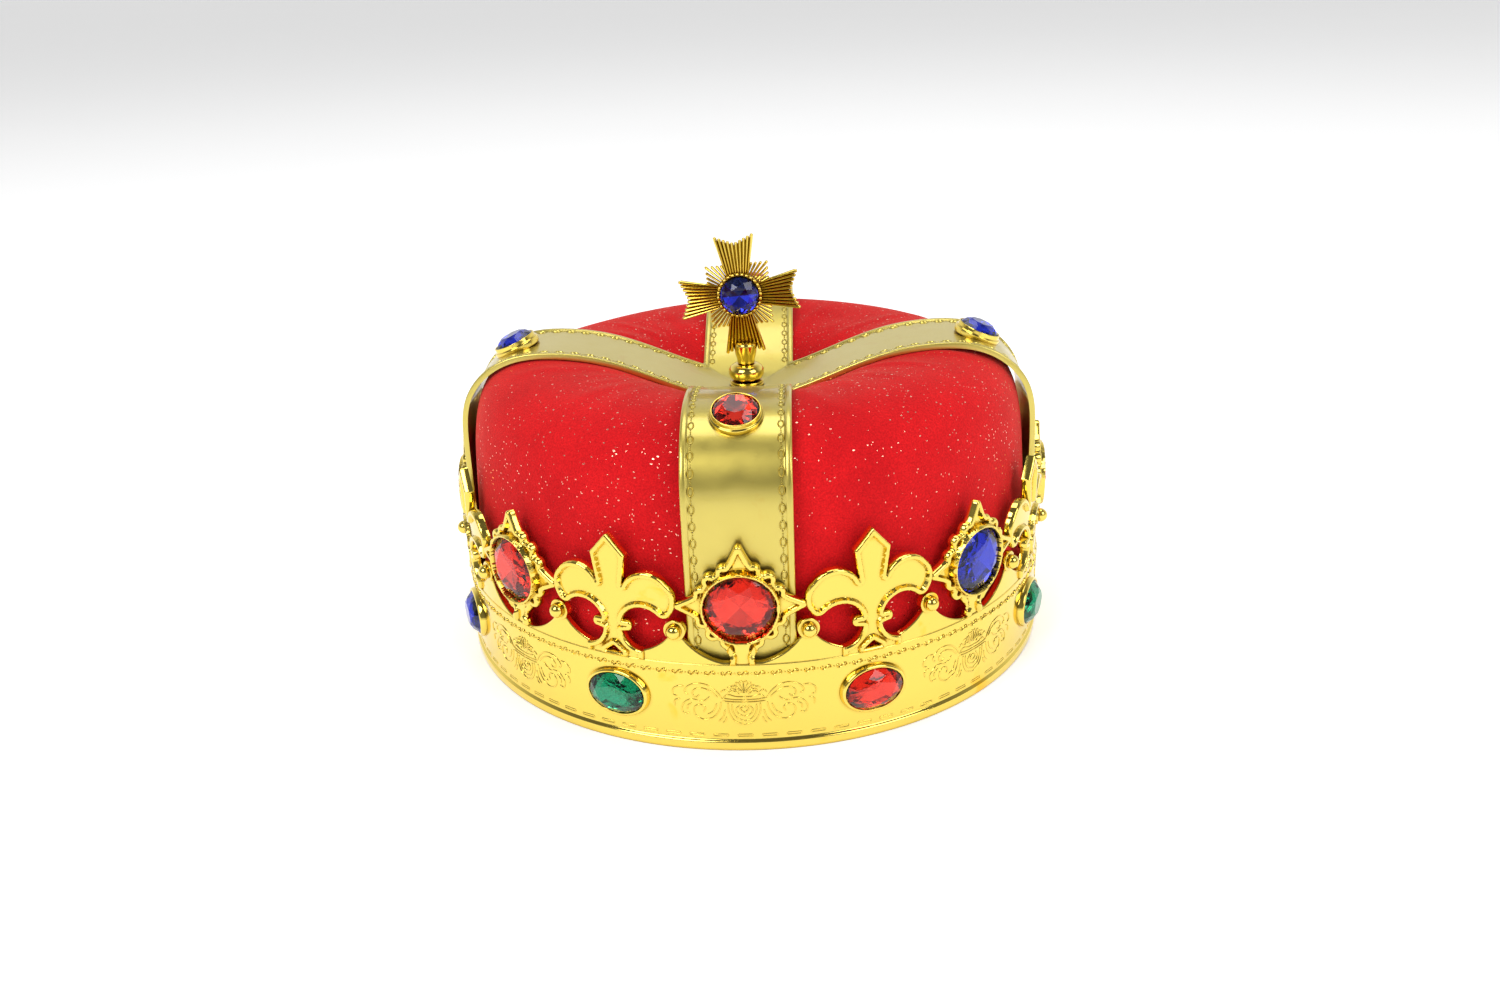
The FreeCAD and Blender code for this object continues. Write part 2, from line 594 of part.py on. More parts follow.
def stand_on_stem(shape):
    """Move a shape drawn flat about the cross's centre up onto the stem, leaning."""
    lean = Placement(flat(0, CROSS_PIVOT), Rotation(Vector(0, 0, 1), CROSS_LEAN))
    raise_up = Placement(flat(0, CROSS_CENTRE - CROSS_PIVOT), Rotation())
    stand_up = Placement(Vector(0, 0, 0), Rotation(Vector(1, 0, 0), 90))
    copy = shape.copy()
    copy.Placement = stand_up * lean * raise_up * shape.Placement
    return copy


def make_finial_cross():
    """Plate with four notched arms over a square of rays, and a ring round the gem."""
    tip_x, tip_y = CROSS_ARM_TIP
    root_x, root_y = CROSS_ARM_ROOT
    corners = [flat(-root_x, root_y), flat(-tip_x, tip_y), flat(0, CROSS_ARM_NOTCH),
               flat(tip_x, tip_y), flat(root_x, root_y)]
    arm = Part.Face(Part.makePolygon(corners + corners[:1]))
    arms = [turned(arm, 90 * i) for i in range(4)]
    size = CROSS_SQUARE
    rays = Part.Face(Part.makePolygon([flat(size, size), flat(-size, size), flat(-size, -size),
                                       flat(size, -size), flat(size, size)]))
    plate = rays.fuse(arms).removeSplitter().extrude(Vector(0, 0, CROSS_THICKNESS))
    plate.translate(Vector(0, 0, -CROSS_THICKNESS / 2))
    inner, outer = CROSS_RING
    face = CROSS_THICKNESS / 2
    ring = tube(inner, outer, face - CROSS_RING_ROOT, face + CROSS_RING_PROUD)
    return stand_on_stem(plate.fuse(ring))


def make_finial_gem():
    gem = faceted_gem(CROSS_GEM_RADIUS, CROSS_GEM_RADIUS, CROSS_GEM_DEPTH)
    gem.translate(Vector(0, 0, CROSS_THICKNESS / 2))
    return stand_on_stem(gem)


# ------------------------------------------------------------------ all parts

def make_parts():
    strap = make_cross_strap()
    strap_envelope = four_arms(arm_block(0, STRAP_HALF_WIDTH, STRAP_LEG_BOTTOM))
    cross = make_finial_cross()
    parts = {
        "rim_band": make_rim_band(),
        "band_rivets": make_band_rivets(),
        "cross_strap": strap,
        "strap_pins": make_strap_pins(),
        "velvet_cap": make_velvet_cap(),
        "cap_lining": make_cap_lining(),
        "sweatband": make_sweatband(),
        "finial_washer": make_finial_washer(),
        "finial_screw": make_finial_screw(),
        "finial_collar": make_finial_collar(),
        "finial_knob": make_finial_knob(),
        "finial_stem": make_finial_stem(cross),
        "finial_cross": cross,
        "finial_gem": make_finial_gem(),
    }
    for side, angle in SIDES.items():
        parts["arch_gem_setting_" + side] = make_arch_setting(angle, strap_envelope)
        parts["arch_gem_" + side] = make_arch_gem(angle)
    for place, angle in STAR_GEMS.items():
        parts["star_gem_" + place] = make_star_gem(angle)
    for place, angle in OVAL_GEMS.items():
        parts["oval_gem_" + place] = make_oval_gem(angle)
    return parts


os.makedirs("parts", exist_ok=True)
for name, shape in make_parts().items():
    shape.exportStep("parts/" + name + ".step")
    print(name, len(shape.Solids), "solid", "valid" if shape.isValid() else "INVALID",
          round(shape.Volume), "mm3")
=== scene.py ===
import json
import math

import bmesh
import bpy
import numpy as np
from mathutils import Matrix, Vector


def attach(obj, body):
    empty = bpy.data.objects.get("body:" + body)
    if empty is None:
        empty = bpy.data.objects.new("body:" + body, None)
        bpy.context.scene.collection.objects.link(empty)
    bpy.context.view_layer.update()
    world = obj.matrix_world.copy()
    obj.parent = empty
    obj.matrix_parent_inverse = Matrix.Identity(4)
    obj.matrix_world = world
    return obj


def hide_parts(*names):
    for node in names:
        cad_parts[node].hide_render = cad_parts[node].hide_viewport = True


# The looks of a costume crown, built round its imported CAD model. Lengths are in
# millimetres and MM turns them into the scene's metres. Angles round the rim are
# in degrees from the front (-Y), positive towards +X.

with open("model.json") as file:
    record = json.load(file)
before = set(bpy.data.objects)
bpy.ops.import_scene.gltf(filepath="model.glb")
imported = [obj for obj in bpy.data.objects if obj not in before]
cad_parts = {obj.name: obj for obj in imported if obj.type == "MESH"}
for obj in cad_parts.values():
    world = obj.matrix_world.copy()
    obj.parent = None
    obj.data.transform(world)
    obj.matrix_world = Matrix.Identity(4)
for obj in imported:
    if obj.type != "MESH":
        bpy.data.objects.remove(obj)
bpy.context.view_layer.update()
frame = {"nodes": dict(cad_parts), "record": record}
scene = bpy.context.scene
MM = 0.001

# ---------------------------------------------------------------- dimensions
BAND_RADIUS = 97.0
BAND_INNER = 95.0
BAND_HEIGHT = 28.0
LIP_RADIUS = 97.9               # rib round the bottom edge
LIP_HEIGHT = 2.8
SEAM_ANGLE = 150.3
SEAM_GAP = 0.3
TONGUE_RADII = (93.5, 94.95)    # lap joint behind the seam
TONGUE_HEIGHTS = (3.5, 26.0)
TONGUE_ANGLES = (143.5, 152.5)
FRINGE_COUNT = 8
PITCH = 360.0 / FRINGE_COUNT

STAR_HEIGHT = 46.2
STAR_BODY_RADIUS = 12.2
STAR_LOBE_CENTRE = 11.5
STAR_LOBE_RADIUS = 2.2
STAR_LOBE_ANGLES = (22.0, 46.0, 70.0)
STAR_GEM_RADIUS = 10.0
STAR_BEZEL_PROUD = 2.3
PLATE_PROUD = 0.8
PLATE_BACK = -2.0
PLATE_STEP = 0.25           # grid spacing of the relief plates
PLATE_BEVEL = 0.45          # of its outer edge
RIM_WIDTH = 1.35            # raised border of a plate
RIM_SLOPE = 0.5             # from the border down to the field
PLATE_CREASES = (PLATE_BEVEL, RIM_WIDTH, RIM_WIDTH + RIM_SLOPE)
STAR_BEZEL_RADIUS = 11.3

PEAK_BALL_HEIGHT = 38.4
PEAK_BALL_RADIUS = 2.25
PEAK_DISC_RADIUS = 3.2
OVAL_HEIGHT = 15.9
OVAL_GEM_HALF = (9.0, 6.5)

STRAP_HALF_WIDTH = 15.5
STRAP_THICKNESS = 1.4
STRAP_LEG = 93.5
STRAP_LEG_BOTTOM = 5.0
STRAP_LEG_TOP = 58.0
STRAP_PAD = 7.0
STRAP_PAD_HEIGHT = 80.0
STRAP_CURVE = [(93.3, 70.0), (91.3, 81.5), (84.4, 90.6), (74.0, 95.6), (62.0, 96.4),
               (46.7, 94.2), (30.0, 88.3), (17.0, 83.2)]
PIN_HEIGHTS = (9.0, 19.0)
BOSS_RADIUS = 2.6
CHAIN_PITCH = 5.0
CHAIN_LINE = 12.45              # from the middle of the strap
CHAIN_START = 1.5               # past the crossing's corner
CHAIN_END = 14.0                # short of the leg's end
CHAIN_LOOP = (1.3, 0.75)

ARCH_GEM_STATION = 76.0
ARCH_GEM_SURFACE = 95.3
ARCH_GEM_TILT = 23.0
ARCH_GEM_RADIUS = 6.5

CAP_HEM_RADIUS = 92.4
CAP_HEM_HEIGHT = 3.0
CAP_HEM_FLARE = 2.4
CAP_SIDE_TOP = 42.0
CAP_CENTRE_HEIGHT = 78.5
CAP_LEG_CLEARANCE = 91.2
CAP_UNDER_STRAP = 0.25
CAP_BESIDE_STRAP = 0.7
CAP_SETTLING = 60               # rounds of pressing the cap in and easing the cloth
CAP_TOP_REACH = 84.0            # as far out as an arm presses it down
CAP_SIDE_REACH = 86.0           # as high up as a leg presses it in
BACK_SLUMP = 3.0                # the cap has sunk this much at the back
CAP_THICKNESS = 0.9
FOLD_LEANS = (-0.50, -0.30, -0.1, 0.12, 0.33, 0.52)     # radians from a quarter's middle
CAP_CURVE = [(91.2, 60.0), (89.6, 76.0), (85.0, 87.0), (75.0, 93.0), (62.0, 94.2),
             (46.7, 92.0), (30.0, 85.2), (18.0, 80.4)]
LINING_SIDE = 90.0
LINING_CURVE = [(90.0, 60.0), (88.0, 76.0), (83.4, 85.6), (74.0, 91.3), (61.8, 92.5), (46.4, 89.9),
                (30.0, 83.0), (18.0, 78.2)]
LINING_CENTRE_HEIGHT = 77.3
LINING_THICKNESS = 0.5
SWEATBAND_RADIUS = 88.4
SWEATBAND_THICKNESS = 0.9
SWEATBAND_SPAN = (1.0, 21.0)

COLLAR_BOTTOM = 80.15
COLLAR_TOP = 81.7
COLLAR_RADIUS = 5.65
KNOB_TOP = 87.4
STEM_TOP = 94.8
CROSS_PIVOT = 93.0
CROSS_CENTRE = 110.65
CROSS_LEAN = 4.25
CROSS_ARM_RIBS = 10
CROSS_CORNER_RAYS = 7
RAY_SIDES = 8
CROSS_BEADS = 28
CROSS_BEAD_RING = 6.85
CROSS_GEM_RADIUS = 6.2

# The main view, in millimetres and degrees, and its lamps.
CAMERA_EYE = (19.19, -427.31, 216.46)
CAMERA_TARGET = (-0.54, -0.02, 37.98)
CAMERA_ROLL = -2.26
CAMERA_LENS = 32.07
LAMPS = [("key", (-0.9, -1.1, 1.5), 1.0, 19.0),     # name, place and width in metres, watts
         ("fill", (1.2, -0.9, 1.2), 1.0, 12.0),
         ("top", (0.1, 0.5, 1.9), 1.1, 10.0)]
FLOOR_HALF = 14.0               # metres

SIDES = {"front": 0.0, "right": 90.0, "back": 180.0, "left": 270.0}
STARS = {"front": 0, "front_right": 45, "right": 90, "back_right": 135,
         "back": 180, "back_left": 225, "left": 270, "front_left": 315}
OVALS = {"front_right": 22.5, "right_front": 67.5, "right_back": 112.5,
         "back_right": 157.5, "back_left": 202.5, "left_back": 247.5,
         "left_front": 292.5, "front_left": 337.5}
SLOT_OF = {part["node"]: part["material_slot"] for part in frame["record"]["subparts"]}


# ---------------------------------------------------------------- meshes

class Shape:
    """Closed shells, collected into one mesh."""

    def __init__(self):
        self.blocks = []
        self.faces = []
        self.looks = []
        self.count = 0

    def add(self, verts, faces, look=0):
        verts = np.asarray(verts, float).reshape(-1, 3)
        base = self.count
        self.blocks.append(verts)
        self.faces += [tuple(base + i for i in face) for face in faces]
        self.looks += [look] * len(faces)
        self.count += len(verts)

    def piece(self, name, materials, nodes=(), body="root", sharp=38.0, flat=False, weld=0.0):
        """Make the Blender object, parent it to its body's empty, and hide these CAD nodes."""
        mesh = bpy.data.meshes.new(name)
        mesh.from_pydata((np.concatenate(self.blocks) * MM).tolist(), [], self.faces)
        for material in materials:
            mesh.materials.append(material)
        mesh.polygons.foreach_set("material_index", self.looks)
        made = bmesh.new()
        made.from_mesh(mesh)
        if weld:
            bmesh.ops.remove_doubles(made, verts=made.verts, dist=weld * MM)
            bmesh.ops.dissolve_degenerate(made, edges=made.edges, dist=weld * MM * 0.1)
        bmesh.ops.recalc_face_normals(made, faces=made.faces)
        made.to_mesh(mesh)
        made.free()
        mesh.polygons.foreach_set("use_smooth", [not flat] * len(mesh.polygons))
        if not flat:
            mesh.set_sharp_from_angle(angle=math.radians(sharp))
        mesh.update()
        made_object = bpy.data.objects.new(name, mesh)
        scene.collection.objects.link(made_object)
        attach(made_object, body)
        if nodes:
            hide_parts(*nodes)
        return made_object


def grid_faces(rows, columns, wrap_rows=False, wrap_columns=False):
    """Quads over a grid of points that is stored row by row."""
    faces = []
    for i in range(rows if wrap_rows else rows - 1):
        after = (i + 1) % rows
        for j in range(columns if wrap_columns else columns - 1):
            right = (j + 1) % columns
            faces.append((i * columns + j, i * columns + right,
                          after * columns + right, after * columns + j))
    return faces


def tube_faces(rings, sides):
    """Quads along a tube of rings, and a face over each end."""
    end = (rings - 1) * sides
    return grid_faces(rings, sides, False, True) + [
        tuple(range(sides)), tuple(end + k for k in reversed(range(sides)))]


def both_sides(faces, count):
    """A skin's faces, and the same on its inner side, whose points come this many later."""
    return faces + [tuple(count + i for i in reversed(face)) for face in faces]


def lathe(profile, sides=64, closed=False):
    """Turn an outline of (radius, height) points about Z. An open one starts and ends on the axis."""
    profile = np.array(profile, float)
    turn = np.linspace(0, 2 * math.pi, sides, endpoint=False)[:, None]
    points = np.stack([profile[:, 0] * np.cos(turn), profile[:, 0] * np.sin(turn),
                       np.broadcast_to(profile[:, 1], (sides, len(profile)))], axis=-1)
    return points.reshape(-1, 3), grid_faces(sides, len(profile), True, closed)


def rounded(corners, radius, steps=3, closed=True):
    """Round off the corners of an outline."""
    corners = [np.array(c, float) for c in corners]
    out = []
    last = len(corners) - 1
    for i, corner in enumerate(corners):
        if not closed and i in (0, last):
            out.append(corner)
            continue
        before, after = corners[i - 1], corners[(i + 1) % len(corners)]
        reach_in = min(radius, 0.45 * np.linalg.norm(before - corner))
        reach_out = min(radius, 0.45 * np.linalg.norm(after - corner))
        start = corner + (before - corner) / np.linalg.norm(before - corner) * reach_in
        end = corner + (after - corner) / np.linalg.norm(after - corner) * reach_out
        for k in range(steps + 1):
            t = k / steps
            out.append((1 - t) ** 2 * start + 2 * t * (1 - t) * corner + t ** 2 * end)
    return out


def smooth_path(points, steps):
    """Catmull-Rom curve through points."""
    points = [np.array(p, float) for p in points]
    last = len(points) - 1
    out = []
    for i in range(last):
        a, b = points[max(i - 1, 0)], points[i]
        c, d = points[i + 1], points[min(i + 2, last)]
        for k in range(steps):
            t = k / steps
            out.append(0.5 * (2 * b + (c - a) * t + (2 * a - 5 * b + 4 * c - d) * t ** 2
                              + (3 * b - a - 3 * c + d) * t ** 3))
    out.append(points[-1])
    return np.array(out)


RIDGE = np.array([(-1.0, -0.5), (-0.72, 0.5), (0.0, 1.0), (0.72, 0.5), (1.0, -0.5)])
RIDGE_TAPER = 0.35              # a ridge's ends, as a share of its width


def ridge(path, half_width, height, closed=False):
    """Raised line along a path on a surface: points (along, across, height) and faces."""
    path = np.asarray(path, float)
    if closed:
        way = np.roll(path, -1, 0) - np.roll(path, 1, 0)
    else:
        way = np.gradient(path, axis=0)
    way /= np.linalg.norm(way, axis=1)[:, None] + 1e-9
    side = np.stack([-way[:, 1], way[:, 0]], axis=1)
    swell = np.ones(len(path))
    if not closed:
        swell[0] = swell[-1] = RIDGE_TAPER
    points = np.empty((len(path), len(RIDGE), 3))
    for k, (across, up) in enumerate(RIDGE):
        points[:, k, :2] = path + side * (across * half_width * swell)[:, None]
        points[:, k, 2] = up * height * np.where(up > 0, swell, 1)
    if closed:
        return points.reshape(-1, 3), grid_faces(len(path), len(RIDGE), True, True)
    return points.reshape(-1, 3), tube_faces(len(path), len(RIDGE))


def ball(centre, radius, sides=10):
    """Small sphere."""
    levels = sides // 2
    tilt = np.linspace(0, math.pi, levels + 1)
    points, faces = lathe([(radius * math.sin(t), -radius * math.cos(t)) for t in tilt], sides)
    return points + np.array(centre, float), faces


def on_rim(points, angle, radius=0.0, height=0.0):
    """Stand local points on the rim: X runs round it, Y up and Z outwards from the radius."""
    x, y, z = np.asarray(points, float).T
    turn = math.radians(angle)
    out = radius + z
    return np.stack([x * math.cos(turn) + out * math.sin(turn),
                     x * math.sin(turn) - out * math.cos(turn), y + height], axis=1)


def bent_round_rim(points, angle):
    """Wrap local points (round the rim, up, outwards) on the rim's cylinder."""
    s, z, h = np.asarray(points, float).T
    turn = math.radians(angle) + s / BAND_RADIUS
    r = BAND_RADIUS + h
    return np.stack([r * np.sin(turn), -r * np.cos(turn), z], axis=1)


# ---------------------------------------------------------------- relief plates

def arc_points(a, middle, b, steps=10):
    """Circular arc through three points."""
    (ax, ay), (bx, by), (cx, cy) = a, middle, b
    d = 2 * (ax * (by - cy) + bx * (cy - ay) + cx * (ay - by))
    a2, b2, c2 = ax * ax + ay * ay, bx * bx + by * by, cx * cx + cy * cy
    ox = (a2 * (by - cy) + b2 * (cy - ay) + c2 * (ay - by)) / d
    oy = (a2 * (cx - bx) + b2 * (ax - cx) + c2 * (bx - ax)) / d
    start, mid, end = (math.atan2(y - oy, x - ox) for x, y in (a, middle, b))
    turn = 2 * math.pi
    sweep = (end - start) % turn
    if (mid - start) % turn > sweep:
        sweep -= turn
    radius = math.hypot(ax - ox, ay - oy)
    return [(ox + radius * math.cos(start + sweep * k / steps),
             oy + radius * math.sin(start + sweep * k / steps)) for k in range(steps + 1)]


def ray_exit_disc(direction, centre, radius):
    """How far out a ray from the origin leaves a disc, or 0 if it misses."""
    along = direction @ centre
    off = centre @ centre - along * along
    return along + math.sqrt(radius * radius - off) if off < radius * radius else 0.0


def ray_exit_polygon(direction, corners):
    """How far out a ray from the origin leaves a polygon, or 0 if it misses."""
    best = 0.0
    normal = np.array([-direction[1], direction[0]])
    for a, b in zip(corners, corners[1:] + corners[:1]):
        side_a, side_b = normal @ a, normal @ b
        if (side_a > 0) != (side_b > 0):
            t = side_a / (side_a - side_b)
            best = max(best, direction @ (a + (b - a) * t))
    return best


def star_outline():
    """Scalloped disc with three ogee tips and a foot, about its own centre."""
    half_tip = [(4.8, 11.2), (2.8, 14.2), (1.45, 17.0)] + arc_points((1.1, 17.8), (0.75, 18.4), (0, 18.7), 4)
    tip = [np.array(p) for p in half_tip] + [np.array((-x, y)) for x, y in reversed(half_tip[:-1])]
    tip += [np.array((-4.0, 0.0)), np.array((4.0, 0.0))]
    foot = [np.array(p) for p in ((5.2, -12.0), (3.3, -16.0), (3.9, -20.6), (-3.9, -20.6),
                                  (-3.3, -16.0), (-5.2, -12.0), (0.0, 0.0))]
    outline = []
    samples = 720
    for i in range(samples):
        turn = 2 * math.pi * (i + 0.5) / samples
        direction = np.array((math.cos(turn), math.sin(turn)))
        reach = STAR_BODY_RADIUS
        for quarter in range(4):
            spin = math.pi / 2 * quarter
            for lobe in STAR_LOBE_ANGLES:
                at = math.radians(lobe) + spin
                centre = STAR_LOBE_CENTRE * np.array((math.cos(at), math.sin(at)))
                reach = max(reach, ray_exit_disc(direction, centre, STAR_LOBE_RADIUS))
            if quarter != 2:
                back = np.array([[math.cos(spin), math.sin(spin)], [-math.sin(spin), math.cos(spin)]])
                reach = max(reach, ray_exit_polygon(back @ direction, tip))
        reach = max(reach, ray_exit_polygon(direction, foot))
        outline.append(direction * reach)
    return [np.array(outline)]


def fleur_outline():
    """Fleur-de-lis with its window, heights from the floor."""
    half = [(0, 66.4), (5.5, 60.2), (4.1, 51.0)]
    half += arc_points((4.1, 51.0), (10.6, 55.7), (17.5, 52.4))[1:]
    half += arc_points((17.5, 52.4), (19.8, 47.6), (18.4, 43.4))[1:]
    half += arc_points((18.4, 43.4), (16.4, 41.9), (14.4, 42.6), 6)[1:]
    half += arc_points((14.4, 42.6), (8.6, 44.6), (3.2, 39.8))[1:]
    half += [(5.2, 39.8)] + arc_points((5.6, 39.7), (6.3, 38.3), (5.6, 36.9), 5) + [(3.0, 36.4)]
    half += arc_points((3.0, 36.4), (4.6, 32.8), (9.2, 30.8), 8)[1:]
    half += [(9.2, 26.0)]
    window = [(0, 31.4), (2.8, 29.2), (-2.8, 29.2)]
    left = [(-x, z) for x, z in reversed(half[1:])]
    return [np.array(half + left, float), np.array(window, float)]


def signed_distance(points, loops):
    """Distance to the nearest outline, negative inside."""
    nearest = np.full(len(points), 1e9)
    inside = np.zeros(len(points), bool)
    for loop in loops:
        for a, b in zip(loop, np.roll(loop, -1, 0)):
            edge = b - a
            from_a = points - a
            t = np.clip(from_a @ edge / (edge @ edge + 1e-12), 0, 1)
            gap = from_a - t[:, None] * edge
            nearest = np.minimum(nearest, np.einsum("ij,ij->i", gap, gap))
            crosses = (a[1] > points[:, 1]) != (b[1] > points[:, 1])
            if edge[1] != 0:
                at = a[0] + (points[:, 1] - a[1]) / edge[1] * edge[0]
                inside ^= crosses & (points[:, 0] < at)
    return np.where(inside, -1, 1) * np.sqrt(nearest)


def relief_plate(loops, relief, creases):
    """Plate inside an outline, its front raised by relief(x, y, distance inside the edge).

    The grid's points near the edge and near each crease are moved on to them.
    """
    step = PLATE_STEP
    everything = np.concatenate(loops)
    low, high = everything.min(0) - 2 * step, everything.max(0) + 2 * step
    columns, rows = (int(n) + 1 for n in (high - low) / step)
    x, y = np.meshgrid(low[0] + step * np.arange(columns), low[1] + step * np.arange(rows))
    points = np.stack([x.ravel(), y.ravel()], axis=1)
    depth = -signed_distance(points, loops)
    slope_y, slope_x = np.gradient(depth.reshape(rows, columns), step)
    slope = np.stack([slope_x.ravel(), slope_y.ravel()], axis=1)
    slope /= np.maximum(np.linalg.norm(slope, axis=1), 0.5)[:, None]
    for crease in [0.0] + list(creases):
        off = depth - crease
        near = np.abs(off) < 0.51 * step
        points[near] -= (off[:, None] * slope)[near]
        depth[near] = crease
    depth[np.abs(depth) < 1e-6] = 0.0

    verts = [tuple(p) for p in points]
    depths = list(depth)
    cut_cache = {}

    def cut(i, j):
        key = (min(i, j), max(i, j))
        if key not in cut_cache:
            t = depths[i] / (depths[i] - depths[j])
            verts.append(tuple(verts[i][k] + (verts[j][k] - verts[i][k]) * t for k in (0, 1)))
            depths.append(0.0)
            cut_cache[key] = len(verts) - 1
        return cut_cache[key]

    front = []
    cells = np.arange(rows * columns).reshape(rows, columns)
    corner = np.stack([cells[:-1, :-1], cells[:-1, 1:], cells[1:, 1:], cells[1:, :-1]], -1).reshape(-1, 4)
    keep = (depth[corner] > 0).any(axis=1)
    for quad in corner[keep].tolist():
        if all(depths[i] >= 0 for i in quad):
            front.append(tuple(quad))
            continue
        for tri in ((quad[0], quad[1], quad[2]), (quad[0], quad[2], quad[3])):
            clipped = []
            for i, j in zip(tri, tri[1:] + tri[:1]):
                if depths[i] >= 0:
                    clipped.append(i)
                if depths[i] * depths[j] < 0:
                    clipped.append(cut(i, j))
            if len(clipped) >= 3 and any(depths[i] > 0 for i in clipped):
                front.append(tuple(clipped))

    used = sorted({i for face in front for i in face})
    fresh = {old: new for new, old in enumerate(used)}
    front = [tuple(fresh[i] for i in face) for face in front]
    flat = np.array([verts[i] for i in used])
    inside = np.array([depths[i] for i in used])
    count = len(flat)
    edges = {}
    for face in front:
        for i, j in zip(face, face[1:] + face[:1]):
            edges[(i, j)] = True
    border = [(i, j) for (i, j) in edges if (j, i) not in edges]
    faces = both_sides(front, count) + [(j, i, i + count, j + count) for i, j in border]
    top = np.column_stack([flat, relief(flat[:, 0], flat[:, 1], inside)])
    bottom = np.column_stack([flat, np.full(count, PLATE_BACK)])
    return np.concatenate([top, bottom]), faces


def ease(value, start, end):
    """0 before start and 1 after end, with a smooth step between."""
    t = np.clip((value - start) / (end - start), 0, 1)
    return t * t * (3 - 2 * t)


def incline(value, start, end):
    """0 before start and 1 after end, with a straight slope between."""
    return np.clip((value - start) / (end - start), 0, 1)


def raised_border(inside, field):
    """Height of a bevelled border round a sunk field. Its slopes are straight, so no grid shows in them."""
    edge = PLATE_PROUD - PLATE_BEVEL * (1 - incline(inside, 0, PLATE_BEVEL))
    return edge - (PLATE_PROUD - field) * incline(inside, RIM_WIDTH, RIM_WIDTH + RIM_SLOPE)


def sunk_foot(height, z):
    """A plate's foot runs down behind the strip's face."""
    return np.minimum(height, -0.2 + 1.0 * ease(z, 27.4, 28.8))


def star_relief(x, y, inside):
    """Bordered field, a bezel round the gem's pocket, and a dimple each side of the foot."""
    reach = np.hypot(x, y)
    height = sunk_foot(raised_border(inside, -0.4), y + STAR_HEIGHT)
    bezel = STAR_BEZEL_PROUD * ease(STAR_BEZEL_RADIUS - reach, 0, 0.5) - 0.3 * ease(10.5 - reach, 0, 0.4)
    height = np.where(reach < STAR_BEZEL_RADIUS, np.maximum(height, bezel), height)
    height -= 0.9 * ease(1.5 - np.hypot((np.abs(x) - 3.1) / 0.8, (y + 14.0) / 1.6), 0, 0.7)
    return np.where(reach < STAR_GEM_RADIUS + 0.05, -1.9, height)


def fleur_relief(_, z, inside):
    return sunk_foot(raised_border(inside, -0.3), z)


# ---------------------------------------------------------------- materials

def add_node(tree, kind, inputs=None, **settings):
    """Node with these settings, its inputs set to values or linked to sockets."""
    node = tree.nodes.new(kind)
    for key, value in settings.items():
        setattr(node, key, value)
    for key, value in (inputs or {}).items():
        if isinstance(value, bpy.types.NodeSocket):
            tree.links.new(value, node.inputs[key])
        else:
            node.inputs[key].default_value = value
    return node


def new_material(name, **sockets):
    material = bpy.data.materials.new(name)
    material.use_nodes = True
    tree = material.node_tree
    shader = tree.nodes["Principled BSDF"]
    for key, value in sockets.items():
        shader.inputs[key.replace("_", " ")].default_value = value
    place = add_node(tree, "ShaderNodeTexCoord").outputs["Object"]
    return material, tree, shader, place


def drive(tree, shader, socket, value):
    """Let a node's output set a socket of the shader."""
    tree.links.new(value, shader.inputs[socket])


def finish(tree, shader, colour, rough):
    """Let nodes set the shader's colour and roughness."""
    drive(tree, shader, "Base Color", colour)
    drive(tree, shader, "Roughness", rough)


def shade(colour, share):
    return tuple(share * c for c in colour)


def noise(tree, place, scale, detail=3.0, roughness=0.55, distortion=0.0):
    node = add_node(tree, "ShaderNodeTexNoise", {"Vector": place, "Scale": scale, "Detail": detail,
                                                 "Roughness": roughness, "Distortion": distortion})
    return node.outputs["Fac"]


def ramp(tree, value, stops):
    node = add_node(tree, "ShaderNodeValToRGB", {"Fac": value})
    bar = node.color_ramp
    while len(bar.elements) < len(stops):
        bar.elements.new(0.5)
    for element, (at, colour) in zip(bar.elements, stops):
        element.position = at
        element.color = (*colour, 1.0)
    return node.outputs["Color"]


def spread(tree, value, low, high, from_low=0.3, from_high=0.7):
    return add_node(tree, "ShaderNodeMapRange", {"Value": value, "From Min": from_low, "From Max": from_high,
                                                 "To Min": low, "To Max": high}).outputs["Result"]


def mix_colour(tree, factor, a, b):
    node = add_node(tree, "ShaderNodeMix", data_type="RGBA")
    for key, value in ((0, factor), (6, a), (7, b)):
        if isinstance(value, bpy.types.NodeSocket):
            tree.links.new(value, node.inputs[key])
        else:
            node.inputs[key].default_value = (*value, 1.0) if isinstance(value, tuple) else value
    return node.outputs[2]


def bump(tree, shader, height, distance, below=None):
    inputs = {"Height": height, "Distance": distance * MM, "Strength": 1.0}
    if below is not None:
        inputs["Normal"] = below
    node = add_node(tree, "ShaderNodeBump", inputs)
    drive(tree, shader, "Normal", node.outputs["Normal"])
    return node.outputs["Normal"]


def painted_crease_shade(tree, colour, dark, distance):
    """Painted shade where the surface is hemmed in, as in grooves and at the foot of a step: an
    ambient-occlusion node darkens the colour there.
    """
    closed = add_node(tree, "ShaderNodeAmbientOcclusion", {"Distance": distance * MM}, samples=6)
    opened = spread(tree, closed.outputs["AO"], 0.0, 1.0, 0.35, 0.85)
    return mix_colour(tree, opened, dark, colour)


